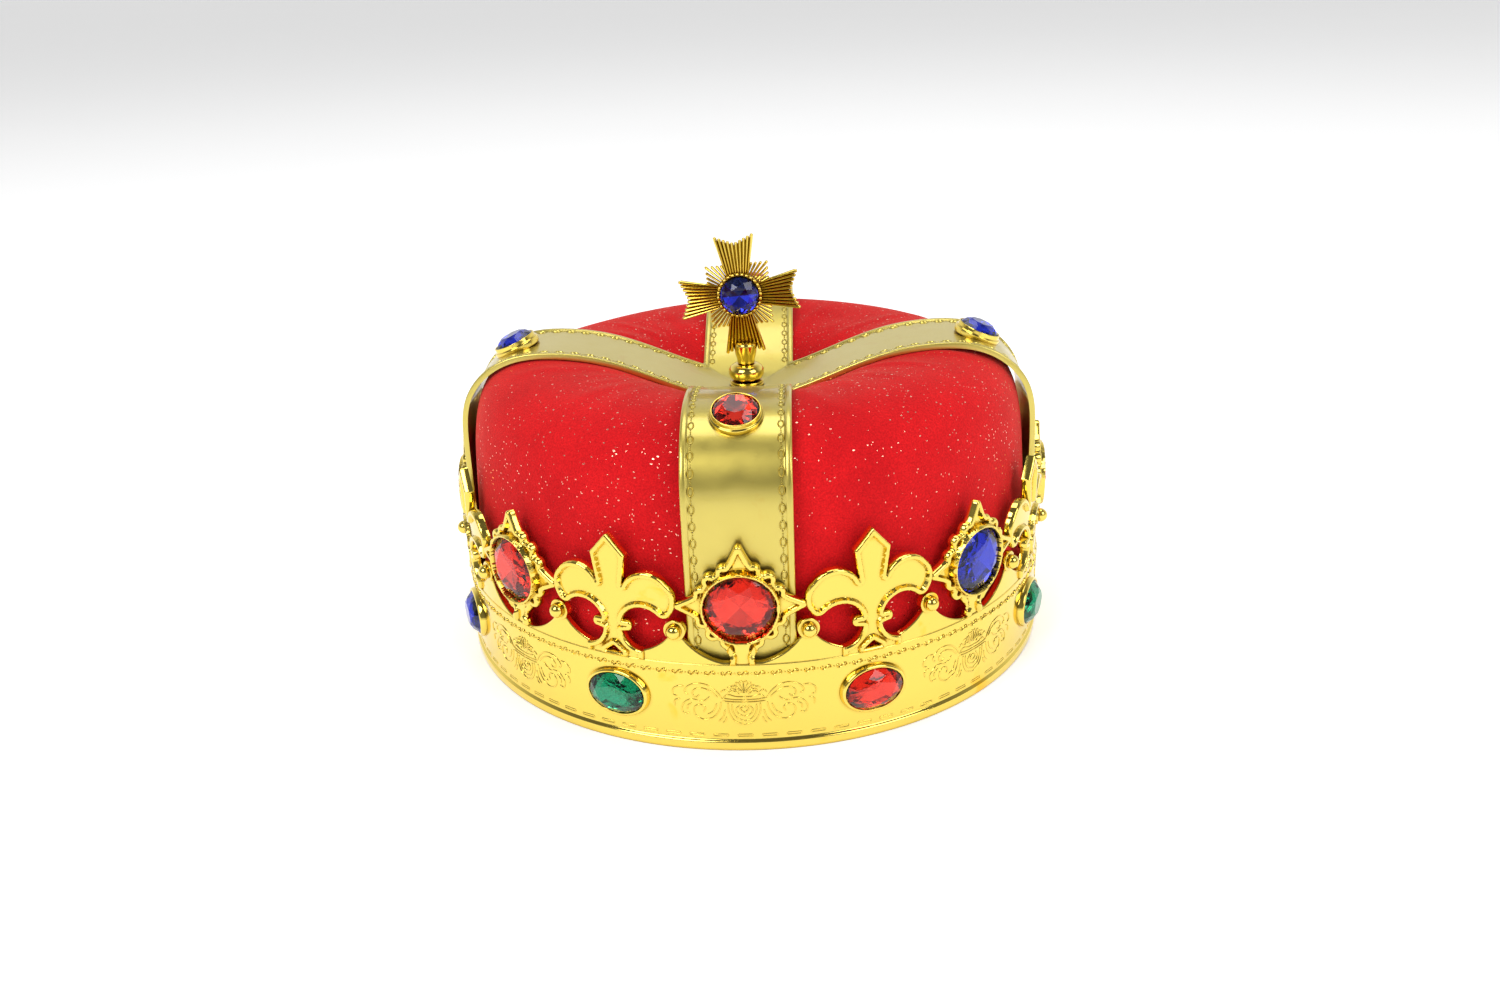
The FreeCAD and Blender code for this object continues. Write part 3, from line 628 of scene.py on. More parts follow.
def plated(name, gold, warm, roughness, wave, coat, crease, fine=0.0):
    """Vacuum-plated plastic: clear gold, uneven in places, over a slightly wavy moulding, with painted shade
    in its grooves that reaches out to crease millimetres.
    """
    material, tree, shader, place = new_material(name, Metallic=1.0, Coat_Weight=coat, Coat_Roughness=0.08)
    blotch = noise(tree, place, 55.0, 4.0, 0.6, 0.4)
    stain = ramp(tree, blotch, [(0.62, (0, 0, 0)), (0.74, (1, 1, 1))])
    tone = mix_colour(tree, noise(tree, place, 18.0, 2.0), gold, shade(gold, 0.93))
    colour = mix_colour(tree, stain, tone, warm)
    # painted shade: the gold is darkened to a brown in grooves and at the foot of steps
    colour = painted_crease_shade(tree, colour, shade(warm, 0.35), crease)
    finish(tree, shader, colour, spread(tree, noise(tree, place, 140.0, 5.0, 0.65), *roughness))
    wavy = bump(tree, shader, noise(tree, place, 160.0, 2.0), wave)
    if fine:
        bump(tree, shader, noise(tree, place, 2600.0, 2.0), fine, below=wavy)
    return material


def gem_materials(name, tint, foil):
    """Cut plastic stone: clear tinted front over a foiled back."""
    clear, tree, shader, place = new_material(name + "_stone", IOR=1.49, Transmission_Weight=1.0)
    tone = mix_colour(tree, noise(tree, place, 120.0), tint, shade(tint, 0.8))
    finish(tree, shader, tone, spread(tree, noise(tree, place, 300.0), 0.0, 0.03))
    back, tree, shader, place = new_material(name + "_foil", Metallic=1.0)
    tone = mix_colour(tree, noise(tree, place, 200.0), foil, shade(foil, 0.7))
    finish(tree, shader, tone, spread(tree, noise(tree, place, 400.0), 0.04, 0.12))
    return [clear, back]


def velvet():
    """Short red pile with scattered glitter."""
    material, tree, shader, place = new_material("red_velvet", Sheen_Weight=0.55, Sheen_Roughness=0.35,
                                                 Sheen_Tint=(1.0, 0.22, 0.16, 1.0), Specular_IOR_Level=0.15)
    mottle = noise(tree, place, 35.0, 5.0, 0.6)
    pile = noise(tree, place, 1800.0, 2.0)
    red = mix_colour(tree, spread(tree, mottle, 0, 1), (0.67, 0.006, 0.010), (0.89, 0.011, 0.015))
    red = mix_colour(tree, spread(tree, pile, 0, 0.5), red, (0.30, 0.002, 0.005))
    fleck = None
    for scale, stretch, chance in ((760.0, (1.0, 1.0, 1.9), 0.93), (1000.0, (2.0, 1.3, 1.0), 0.93)):
        warped = add_node(tree, "ShaderNodeMapping", {"Vector": place, "Scale": stretch,
                                                      "Rotation": (0.4, 0.7, stretch[0])}).outputs["Vector"]
        cells = add_node(tree, "ShaderNodeTexVoronoi", {"Vector": warped, "Scale": scale})
        near = add_node(tree, "ShaderNodeMath", {0: cells.outputs["Distance"], 1: 0.26},
                        operation="LESS_THAN").outputs[0]
        split = add_node(tree, "ShaderNodeSeparateColor", {"Color": cells.outputs["Color"]}).outputs["Red"]
        drift = spread(tree, noise(tree, place, 14.0, 2.0), chance - 0.05, chance + 0.06)
        chosen = add_node(tree, "ShaderNodeMath", {0: split, 1: drift}, operation="GREATER_THAN").outputs[0]
        speck = add_node(tree, "ShaderNodeMath", {0: near, 1: chosen}, operation="MULTIPLY").outputs[0]
        if fleck is None:
            fleck = speck
        else:
            fleck = add_node(tree, "ShaderNodeMath", {0: fleck, 1: speck}, operation="MAXIMUM").outputs[0]
    colour = mix_colour(tree, fleck, red, (0.95, 0.50, 0.36))
    finish(tree, shader, colour, spread(tree, fleck, 0.88, 0.25, 0, 1))
    drive(tree, shader, "Metallic", fleck)
    bump(tree, shader, pile, 0.12)
    return material


def woven(name, dark, light, rib_scale, rib_depth):
    """Cloth with ribs round the crown's axis."""
    material, tree, shader, place = new_material(name, Sheen_Weight=0.2, Roughness=0.85)
    threads = add_node(tree, "ShaderNodeTexWave", {"Vector": place, "Scale": rib_scale, "Distortion": 0.6,
                                                   "Detail": 1.0, "Detail Scale": 2.0},
                       bands_direction="Z").outputs["Fac"]
    fuzz = noise(tree, place, 900.0)
    tone = mix_colour(tree, threads, dark, light)
    tone = mix_colour(tree, spread(tree, fuzz, 0.0, 0.35), tone, dark)
    finish(tree, shader, tone, spread(tree, fuzz, 0.75, 0.95))
    bump(tree, shader, threads, rib_depth)
    return material


def brushed(name, colour, roughness):
    """Plain fastener metal or plastic with a fine grain."""
    metallic = 0.0 if "plastic" in name else 1.0
    material, tree, shader, place = new_material(name, Metallic=metallic)
    patch = noise(tree, place, 220.0, 4.0)
    tone = mix_colour(tree, patch, colour, shade(colour, 0.78))
    finish(tree, shader, tone, spread(tree, patch, roughness, roughness + 0.15))
    bump(tree, shader, noise(tree, place, 900.0), 0.02)
    return material


bright_gold = plated("bright_gold", (0.90, 0.68, 0.13), warm=(1.0, 0.55, 0.02), roughness=(0.07, 0.15),
                     wave=0.035, coat=0.1, crease=1.4)
satin_gold = plated("satin_gold", (0.70, 0.57, 0.125), warm=(0.65, 0.45, 0.08), roughness=(0.32, 0.40),
                    wave=0.03, coat=0.5, crease=0.7, fine=0.006)
GEMS = {
    "red": gem_materials("red_gem", (1.0, 0.085, 0.06), (1.0, 0.55, 0.40)),
    "blue": gem_materials("blue_gem", (0.04, 0.07, 0.72), (0.55, 0.60, 0.95)),
    "green": gem_materials("green_gem", (0.02, 0.40, 0.24), (0.55, 0.85, 0.70)),
}
red_velvet = velvet()
lining_cloth = woven("lining_cloth", (0.62, 0.58, 0.51), (0.80, 0.77, 0.70), 260.0, 0.04)
ribbon = woven("sweatband_ribbon", (0.02, 0.02, 0.022), (0.06, 0.06, 0.065), 420.0, 0.15)
white_plastic = brushed("white_plastic", (0.82, 0.81, 0.78), 0.4)
brass = brushed("rivet_brass", (0.80, 0.58, 0.22), 0.22)
steel = brushed("fastener_steel", (0.62, 0.62, 0.60), 0.25)


# ---------------------------------------------------------------- rim band

def swept_round_rim(section, start, end, steps):
    """Closed (radius, height) section, carried round the rim between two angles."""
    turns = np.radians(np.linspace(start, end, steps))[:, None]
    section = np.array(section, float)
    points = np.stack([section[:, 0] * np.sin(turns), -section[:, 0] * np.cos(turns),
                       np.broadcast_to(section[:, 1], (steps, len(section)))], axis=-1)
    return points.reshape(-1, 3), tube_faces(steps, len(section))


def make_band():
    half_gap = math.degrees(SEAM_GAP / 2 / BAND_RADIUS)
    section = rounded([(BAND_INNER, 0), (97.85, 0), (LIP_RADIUS, LIP_HEIGHT), (BAND_RADIUS, 3.35),
                       (BAND_RADIUS, 27.72), (96.86, 27.82), (96.86, BAND_HEIGHT),
                       (BAND_INNER, BAND_HEIGHT)], 0.4)
    strip = Shape()
    strip.add(*swept_round_rim(section, SEAM_ANGLE + half_gap, SEAM_ANGLE + 360 - half_gap, 361))
    (inner, outer), (low, high) = TONGUE_RADII, TONGUE_HEIGHTS
    tongue = rounded([(inner, low), (outer, low), (outer, high), (inner, high)], 0.3)
    strip.add(*swept_round_rim(tongue, *TONGUE_ANGLES, 13))
    boss = rounded([(0, -0.1), (BOSS_RADIUS, -0.1), (BOSS_RADIUS, 1.8), (0, 1.8)], 0.25)
    points, faces = lathe(boss, 24, True)
    for angle in SIDES.values():
        for height in PIN_HEIGHTS:
            strip.add(on_rim(points, angle, STRAP_LEG + 0.1, height), faces)
    strip.piece("band_strip", [bright_gold], ["rim_band"], sharp=50)


def scroll_border(shape):
    """Row of reclining scrolls with a dot between each two, under the strip's top edge."""
    curl = [(-0.75, 0.1), (-1.15, 0.4), (-1.5, -0.05), (-1.1, -0.62), (-0.4, -0.45), (0, 0),
            (0.4, 0.45), (1.1, 0.62), (1.5, 0.05), (1.15, -0.4), (0.75, -0.1)]
    path = smooth_path(curl, 3)
    count, height = 128, 25.2
    for i in range(count):
        angle = 360.0 * i / count
        points, faces = ridge(path + (0, height), 0.24, 0.34)
        shape.add(bent_round_rim(points, angle), faces)
        points, faces = ball((0, 0, 0), 0.26, 6)
        shape.add(on_rim(points, angle + 180.0 / count, BAND_RADIUS, height), faces)


def dash_border(shape):
    """Row of long flat beads above the bottom rib."""
    count, height = 86, 4.75
    path = rounded([(-2.2, -0.36), (2.2, -0.36), (2.2, 0.36), (-2.2, 0.36)], 0.34)
    path = np.array(path) + (0, height)
    for i in range(count):
        points, faces = ridge(path, 0.18, 0.2, closed=True)
        shape.add(bent_round_rim(points, 360.0 * i / count), faces)


def emblem_lines():
    """Right half of the low-relief panel under each star: a shell over a swag, with leaf scrolls."""
    lines = [
        [(0, 17.6), (2.4, 17.7), (4.6, 18.3), (5.8, 17.4)],
        [(0, 16.6), (3.4, 16.7), (6.4, 17.1)],
        [(0, 15.8), (3.4, 15.9), (6.2, 16.2)],
        [(4.6, 15.6), (4.5, 12.6), (2.9, 9.6), (0, 8.3)],
        [(3.5, 15.2), (3.4, 12.8), (2.2, 10.6), (0, 9.6)],
        [(0, 14.6), (1.2, 13.6), (0, 12.4)],
        [(1.2, 14.9), (2.4, 13.5), (1.7, 11.9), (0, 11.2)],
        [(1.3, 18.4), (2.6, 19.4), (4.2, 19.1), (5.6, 19.9), (6.6, 19.0)],
        [(2.2, 20.4), (3.6, 21.0), (4.8, 20.6)],
        [(6.4, 17.0), (7.8, 19.2), (10.2, 21.2), (13.2, 21.8), (16.0, 20.8), (17.3, 18.9), (16.2, 17.9)],
        [(7.6, 17.4), (9.6, 19.3), (12.2, 20.3), (14.4, 19.6), (14.9, 18.0), (13.8, 17.2), (12.9, 18.0)],
        [(6.6, 16.0), (7.2, 13.2), (9.0, 10.8), (12.0, 9.9), (14.4, 11.4), (14.5, 13.8), (12.8, 14.8),
         (11.3, 13.8), (11.9, 12.4)],
        [(7.9, 15.4), (8.9, 12.9), (10.8, 11.6)],
        [(13.4, 16.2), (15.4, 16.4), (17.2, 15.4), (18.3, 13.4), (17.6, 11.6), (16.0, 11.9)],
        [(15.2, 15.2), (16.5, 14.2), (16.6, 12.9)],
        [(17.2, 20.6), (19.0, 20.5), (20.6, 19.4), (20.7, 17.6), (19.5, 17.2)],
        [(18.6, 16.4), (20.3, 15.6), (20.2, 13.8)],
        [(9.8, 17.6), (11.4, 16.2), (13.0, 15.9)],
        [(5.6, 13.4), (6.2, 11.0), (7.6, 9.4)],
        [(5.2, 11.0), (5.6, 9.7), (6.4, 8.9)],
    ]
    for k in range(4):
        lean = math.radians(22.0 * k)
        tip = (3.3 * math.sin(lean), 18.9 + 3.3 * math.cos(lean))
        lines.append([(0.25 * math.sin(lean), 18.9), tip])
        lines.append([(3.2 * math.sin(lean), 19.0 + 3.2 * math.cos(lean)),
                      (3.9 * math.sin(lean + 0.19), 19.0 + 3.9 * math.cos(lean + 0.19)),
                      (3.2 * math.sin(lean + 0.38), 19.0 + 3.2 * math.cos(lean + 0.38))])
    return lines


def make_band_relief():
    shape = Shape()
    scroll_border(shape)
    dash_border(shape)
    for line in emblem_lines():
        path = smooth_path(line, 5)
        for mirror in (1, -1):
            points, faces = ridge(path * (mirror, 1), 0.22, 0.26)
            for angle in STARS.values():
                shape.add(bent_round_rim(points, angle), faces)
    shape.piece("band_relief", [bright_gold], ["rim_band"], sharp=80)


def bezel_ring(half, section, steps=72):
    """Sweep an (outwards, up) section round an ellipse."""
    turn = np.linspace(0, 2 * math.pi, steps, endpoint=False)
    edge = np.stack([half[0] * np.cos(turn), half[1] * np.sin(turn)], axis=1)
    out = np.stack([np.cos(turn) / half[0], np.sin(turn) / half[1]], axis=1)
    out /= np.linalg.norm(out, axis=1)[:, None]
    points = [np.column_stack([edge + out * across, np.full(steps, up)]) for across, up in section]
    return np.stack(points, axis=1).reshape(-1, 3), grid_faces(steps, len(section), True, True)


def make_oval_bezels():
    shape = Shape()
    section = rounded([(0.05, -1.2), (0.05, 1.35), (0.4, 1.6), (1.0, 1.3), (1.35, 0.1), (1.45, -1.2)], 0.3)
    points, faces = bezel_ring(OVAL_GEM_HALF, section)
    for angle in OVALS.values():
        shape.add(on_rim(points, angle, BAND_RADIUS, OVAL_HEIGHT), faces)
    shape.piece("oval_bezels", [bright_gold], ["rim_band"], sharp=60)


def make_fringe():
    """Star plates, fleurs and the peaks between them."""
    star, star_faces = relief_plate(star_outline(), star_relief, PLATE_CREASES)
    star = star + (0, STAR_HEIGHT, 0)
    fleur, fleur_faces = relief_plate(fleur_outline(), fleur_relief, PLATE_CREASES)
    for place, angle in STARS.items():
        for label, points, faces, turn in (("star", star, star_faces, 0.0),
                                           ("fleur", fleur, fleur_faces, PITCH / 2)):
            shape = Shape()
            shape.add(bent_round_rim(points, angle + turn), faces)
            shape.piece(label + "_plate_" + place, [bright_gold], ["rim_band"], sharp=48)

    hill = [(-15.5, 26.0), (-15.5, 28.4), (-13.4, 28.4)]
    hill += arc_points((-13.4, 28.4), (-7.2, 31.0), (-1.6, 36.4), 14)[1:] + [(1.6, 36.4)]
    hill += arc_points((1.6, 36.4), (5.4, 33.0), (11.0, 30.6), 12)[1:] + [(11.0, 26.0)]
    hill_points, hill_faces = relief_plate(
        [np.array(hill)], lambda x, z, inside: -0.25 - 0.3 * (1 - incline(inside, 0, 0.4)), (0.4,))
    disc = rounded([(0, -2.0), (PEAK_DISC_RADIUS, -2.0), (PEAK_DISC_RADIUS, 0.4), (0, 0.4)], 0.3)
    disc_points, disc_faces = lathe(disc, 32, True)
    ball_points, ball_faces = ball((0, 0, 1.0), PEAK_BALL_RADIUS, 28)
    peaks = Shape()
    for i in range(FRINGE_COUNT):
        for mirror in (1, -1):
            angle = i * PITCH + mirror * PITCH / 4
            peaks.add(bent_round_rim(hill_points * (mirror, 1, 1), angle), hill_faces)
            peaks.add(on_rim(disc_points, angle, BAND_RADIUS, PEAK_BALL_HEIGHT), disc_faces)
            peaks.add(on_rim(ball_points, angle, BAND_RADIUS, PEAK_BALL_HEIGHT), ball_faces)
    peaks.piece("peaks", [bright_gold], ["rim_band"], sharp=48)


# ---------------------------------------------------------------- gems

def cut_stone(half, girdle, table, culet):
    """Faceted stone of these half-sizes and levels: its points, its clear crown and its foiled back."""
    def ring(share, level, count, shift):
        turn = 2 * math.pi * (np.arange(count) + shift) / count
        return np.stack([half[0] * share * np.cos(turn), half[1] * share * np.sin(turn),
                         np.full(count, level)], axis=1)
    low, high = girdle
    table_share, middle_share, under_share, under_level = 0.56, 0.78, 0.5, 0.45
    along = (middle_share * math.cos(math.pi / 8) - table_share) / (1 - table_share)
    rings = [ring(1, low, 16, 0), ring(1, high, 16, 0),
             ring(middle_share, table - along * (table - high), 8, 0.5),
             ring(table_share, table, 8, 0),
             ring(under_share, low - under_level * (low - culet), 8, 0.5), np.array([[0, 0, culet]])]
    lower, upper, middle, flat, under, tip = 0, 16, 32, 40, 48, 56
    crown = [tuple(flat + k for k in range(8))]
    back = []
    for k in range(8):
        after, before = (k + 1) % 8, (k - 1) % 8
        even, odd, next_even = 2 * k, 2 * k + 1, (2 * k + 2) % 16
        crown.append((flat + k, flat + after, middle + k))
        crown.append((flat + k, middle + before, upper + even, middle + k))
        crown.append((middle + k, upper + even, upper + odd))
        crown.append((middle + k, upper + odd, upper + next_even))
        crown.append((upper + even, lower + even, lower + odd, upper + odd))
        crown.append((upper + odd, lower + odd, lower + next_even, upper + next_even))
        back.append((under + k, lower + odd, lower + even))
        back.append((under + k, lower + next_even, lower + odd))
        back.append((tip, under + before, lower + even, under + k))
    return np.concatenate(rings), crown, back


def make_stone(node, stone, place, body="root"):
    """Gem for a CAD node, in the colour of its slot: clear crown, foiled back."""
    points, crown, back = stone
    points = place(points)
    slot = SLOT_OF[node]
    shape = Shape()
    shape.add(points, crown, 0)
    shape.faces += back
    shape.looks += [1] * len(back)
    shape.piece(node + "_cut", GEMS[slot.split("_")[0]], [node], body=body, flat=True)


def make_rim_gems():
    round_stone = cut_stone((STAR_GEM_RADIUS, STAR_GEM_RADIUS), (0.2, 0.6), 2.9, -1.75)
    oval_stone = cut_stone(OVAL_GEM_HALF, (1.15, 1.45), 4.0, 0.12)
    for place, angle in STARS.items():
        make_stone("star_gem_" + place, round_stone,
                   lambda points, a=angle: on_rim(points, a, BAND_RADIUS, STAR_HEIGHT))
    for place, angle in OVALS.items():
        make_stone("oval_gem_" + place, oval_stone,
                   lambda points, a=angle: on_rim(points, a, BAND_RADIUS, OVAL_HEIGHT))


def on_arch(points, angle):
    """Put local points on an arch's shoulder, their Z square to the arch."""
    x, y, z = np.asarray(points, float).T
    tilt = math.radians(ARCH_GEM_TILT)
    back = y * math.cos(tilt) - z * math.sin(tilt) - ARCH_GEM_STATION
    up = y * math.sin(tilt) + z * math.cos(tilt) + ARCH_GEM_SURFACE
    turn = math.radians(angle)
    return np.stack([x * math.cos(turn) - back * math.sin(turn),
                     x * math.sin(turn) + back * math.cos(turn), up], axis=1)


def make_arch_gems():
    cup = rounded([(0, -1.2), (7.6, -1.2), (7.7, 0.85), (7.1, 1.05), (7.1, 2.4), (6.6, 2.4),
                   (6.55, 0.3), (0, 0.3)], 0.22, closed=False)
    points, faces = lathe(cup, 72)
    stone = cut_stone((ARCH_GEM_RADIUS, ARCH_GEM_RADIUS), (2.0, 2.3), 4.4, 0.5)
    for side, angle in SIDES.items():
        shape = Shape()
        shape.add(on_arch(points, angle), faces)
        shape.piece("arch_cup_" + side, [bright_gold], ["arch_gem_setting_" + side],
                    weld=0.001)
        make_stone("arch_gem_" + side, stone, lambda p, a=angle: on_arch(p, a))


# ---------------------------------------------------------------- cross strap

def spline_through(points, per_span=12):
    """Natural cubic spline through points, by chord length."""
    points = np.array(points, float)
    chord = np.concatenate([[0], np.cumsum(np.linalg.norm(np.diff(points, axis=0), axis=1))])
    count = len(points)
    gap = np.diff(chord)
    system = np.eye(count)
    right = np.zeros((count, 2))
    for i in range(1, count - 1):
        system[i, i - 1:i + 2] = gap[i - 1], 2 * (gap[i - 1] + gap[i]), gap[i]
        right[i] = 6 * ((points[i + 1] - points[i]) / gap[i] - (points[i] - points[i - 1]) / gap[i - 1])
    bend = np.linalg.solve(system, right)
    out = []
    for i in range(count - 1):
        for k in range(per_span):
            b = k / per_span
            a = 1 - b
            out.append(a * points[i] + b * points[i + 1]
                       + ((a ** 3 - a) * bend[i] + (b ** 3 - b) * bend[i + 1]) * gap[i] ** 2 / 6)
    out.append(points[-1])
    return np.array(out)


class Arch:
    """An arm of the strap, from the middle out and down to the leg's end."""

    def __init__(self):
        shoulder = spline_through([(STRAP_LEG, STRAP_LEG_TOP)] + STRAP_CURVE
                                  + [(STRAP_PAD, STRAP_PAD_HEIGHT)])[::-1]
        pad = [(r, STRAP_PAD_HEIGHT) for r in np.linspace(0, STRAP_PAD, 8)[:-1]]
        leg = [(STRAP_LEG, z) for z in np.linspace(STRAP_LEG_TOP, STRAP_LEG_BOTTOM, 24)[1:]]
        self.line = np.concatenate([pad, shoulder, leg])
        self.way = np.concatenate([[0], np.cumsum(np.linalg.norm(np.diff(self.line, axis=0), axis=1))])
        self.length = self.way[-1]

    def way_at(self, reach):
        """Distance along the arm where it is this far from the axis, on the top."""
        top = self.line[:, 0].argmax()
        return np.interp(reach, self.line[:top + 1, 0], self.way[:top + 1])

    def height_at(self, reach):
        top = self.line[:, 0].argmax()
        return np.interp(reach, self.line[:top + 1, 0], self.line[:top + 1, 1])

    def surface(self, way, across, up, upright=0.0):
        """Point above the arm; upright blends its normal towards +Z."""
        r, z = (np.interp(way, self.way, self.line[:, k]) for k in (0, 1))
        ahead, behind = (np.stack([np.interp(np.clip(way + d, 0, self.length), self.way, self.line[:, k])
                                   for k in (0, 1)], -1) for d in (1.0, -1.0))
        tangent = ahead - behind
        tangent /= np.linalg.norm(tangent, axis=-1)[..., None]
        normal = np.stack([-tangent[..., 1], tangent[..., 0]], -1)
        upright = np.asarray(upright)[..., None]
        normal = normal * (1 - upright) + np.array([0, 1.0]) * upright
        normal /= np.linalg.norm(normal, axis=-1)[..., None]
        return np.stack([r + normal[..., 0] * up, across + 0 * r, z + normal[..., 1] * up], axis=-1)


def turned_to(points, angle):
    """Turn points drawn along +X to a side of the crown."""
    x, y, z = np.asarray(points, float).reshape(-1, 3).T
    turn = math.radians(angle)
    return np.stack([x * math.sin(turn) + y * math.cos(turn),
                     -x * math.cos(turn) + y * math.sin(turn), z], axis=1)


def make_strap(arch):
    half = [(0.0, 0.0), (3.0, 0.0), (6.0, 0.0), (9.0, 0.0), (11.2, 0.0), (12.8, 0.0), (13.3, -0.02),
            (13.55, 0.05), (13.75, 0.34), (13.95, 0.42), (14.6, 0.46), (15.1, 0.42), (15.35, 0.28),
            (15.5, 0.0)]
    across = np.array([-v for v, _ in half[:0:-1]] + [v for v, _ in half])
    relief = np.array([h for _, h in half[:0:-1]] + [h for _, h in half])
    stations = 170
    share = np.linspace(0, 1, stations)[:, None]
    start = arch.way_at(np.abs(across))[None, :]
    way = start + (arch.length - start) * share
    upright = 1 - ease(way - start, 0.0, 7.0)
    spread_across = np.broadcast_to(across, way.shape)
    top = arch.surface(way, spread_across, np.broadcast_to(relief, way.shape), upright)
    bottom = arch.surface(way, spread_across, np.full(way.shape, -STRAP_THICKNESS), upright)
    columns = len(across)
    offset = stations * columns
    faces = both_sides(grid_faces(stations, columns), offset)
    for i in range(stations - 1):
        for j in (0, columns - 1):
            a, b = i * columns + j, (i + 1) * columns + j
            faces.append((a, b, b + offset, a + offset))
    last = (stations - 1) * columns
    for j in range(columns - 1):
        faces.append((last + j, last + j + 1, last + j + 1 + offset, last + j + offset))
    points = np.concatenate([top.reshape(-1, 3), bottom.reshape(-1, 3)])
    shape = Shape()
    for angle in SIDES.values():
        shape.add(turned_to(points, angle), faces)
    shape.piece("strap_body", [satin_gold], ["cross_strap"], sharp=42, weld=0.02)


def make_strap_chain(arch):
    """Row of loops joined by dots, inside each border of the strap."""
    turn = np.linspace(0, 2 * math.pi, 14, endpoint=False)
    long_half, wide_half = CHAIN_LOOP
    shape = Shape()
    for edge in (-1, 1):
        first = arch.way_at(STRAP_HALF_WIDTH) + CHAIN_START
        line = edge * CHAIN_LINE
        for i in range(int((arch.length - CHAIN_END - first) / CHAIN_PITCH)):
            centre = first + i * CHAIN_PITCH
            loop = np.stack([centre + long_half * np.cos(turn), line + wide_half * np.sin(turn)], axis=1)
            blocks = [ridge(loop, 0.26, 0.34, closed=True)]
            for k in (-0.75, 0.0, 0.75):
                blocks.append(ball((centre + CHAIN_PITCH / 2 + k, line, 0), 0.27, 6))
            for points, faces in blocks:
                placed = arch.surface(points[:, 0], points[:, 1], points[:, 2], np.zeros(len(points)))
                for angle in SIDES.values():
                    shape.add(turned_to(placed, angle), faces)
    shape.piece("strap_chain", [satin_gold], ["cross_strap"], sharp=80)


# ---------------------------------------------------------------- cap

def cap_meridian(curve, side, middle, rows_side, rows_top, flare=0.0):
    """(radius, height) down the middle of a gore, from the hem to the screw."""
    shoulder = spline_through([side] + curve + [middle], 16)
    way = np.concatenate([[0], np.cumsum(np.linalg.norm(np.diff(shoulder, axis=0), axis=1))])
    even = np.linspace(0, way[-1], rows_top)
    shoulder = np.stack([np.interp(even, way, shoulder[:, k]) for k in (0, 1)], axis=1)
    level = np.linspace(CAP_HEM_HEIGHT, side[1], rows_side)
    skirt = np.stack([side[0] + flare * (1 - ease(level, 6, 26)), level], axis=1)
    hub = np.stack([np.linspace(middle[0], 1.7, 5), np.full(5, middle[1])], axis=1)
    return np.concatenate([skirt[:-1], shoulder, hub[1:]])


def relaxed_over(arch, points):
    """Ease the cap out from under the strap: its arms and legs press it in, and the cloth spreads that."""
    moved = points.copy()
    for _ in range(CAP_SETTLING):
        for angle in SIDES.values():
            turn = math.radians(angle)
            out = moved[..., 0] * math.sin(turn) - moved[..., 1] * math.cos(turn)
            across = moved[..., 0] * math.cos(turn) + moved[..., 1] * math.sin(turn)
            under = (np.abs(across) < STRAP_HALF_WIDTH + CAP_BESIDE_STRAP) & (out > 0)
            limit = arch.height_at(np.clip(out, 0, STRAP_LEG)) - STRAP_THICKNESS - CAP_UNDER_STRAP
            over_top = under & (moved[..., 2] > limit) & (out < CAP_TOP_REACH)
            moved[..., 2] = np.where(over_top, limit, moved[..., 2])
            too_far = under & (out > CAP_LEG_CLEARANCE) & (moved[..., 2] < CAP_SIDE_REACH)
            push = np.where(too_far, CAP_LEG_CLEARANCE - out, 0)
            moved[..., 0] += push * math.sin(turn)
            moved[..., 1] -= push * math.cos(turn)
        shift = moved - points
        eased = shift.copy()
        eased[1:-1] = (shift[:-2] + shift[2:] + np.roll(shift, 1, 1)[1:-1] + np.roll(shift, -1, 1)[1:-1]) / 4
        shift[1:-1] = 0.5 * shift[1:-1] + 0.5 * eased[1:-1]
        moved = points + shift
    return moved


def slump(points):
    """The cap and its lining have sunk a little at the back."""
    reach = np.hypot(points[..., 0], points[..., 1])
    return BACK_SLUMP * ease(points[..., 1], 5, 45) * ease(points[..., 2], 68, 88) * ease(reach, 30, 55)


def cap_folds(points):
    """Soft tension folds that run from the strap's crossing out over each puffed quarter."""
    rng = np.random.default_rng(7)
    x, y, z = points[..., 0], points[..., 1], points[..., 2]
    reach, turn = np.hypot(x, y), np.arctan2(y, x)
    lift = np.zeros(reach.shape)
    for quarter in range(4):
        middle = math.pi / 4 + quarter * math.pi / 2
        for lean in FOLD_LEANS:
            bearing = middle + lean + rng.uniform(-0.07, 0.07)
            width = rng.uniform(1.6, 3.4)
            height = rng.uniform(0.35, 0.8)
            sway = rng.uniform(-0.10, 0.10)
            start, end = rng.uniform(20, 30), rng.uniform(62, 88)
            off = reach * np.sin(turn - bearing - sway * np.sin(reach / 26.0))
            facing = np.cos(turn - bearing) > 0.5
            fade = ease(reach, start, start + 16) * (1 - ease(reach, end - 22, end))
            lift += np.where(facing, height * np.exp(-(off / width) ** 2) * fade, 0)
    slow = 0.5 * np.sin(3 * turn + 0.8) * np.sin(reach / 17.0)
    slow += 0.35 * np.sin(5 * turn - 1.0) * np.cos(z / 13.0)
    return lift + slow * ease(z, 30, 60) * ease(reach, 24, 45)


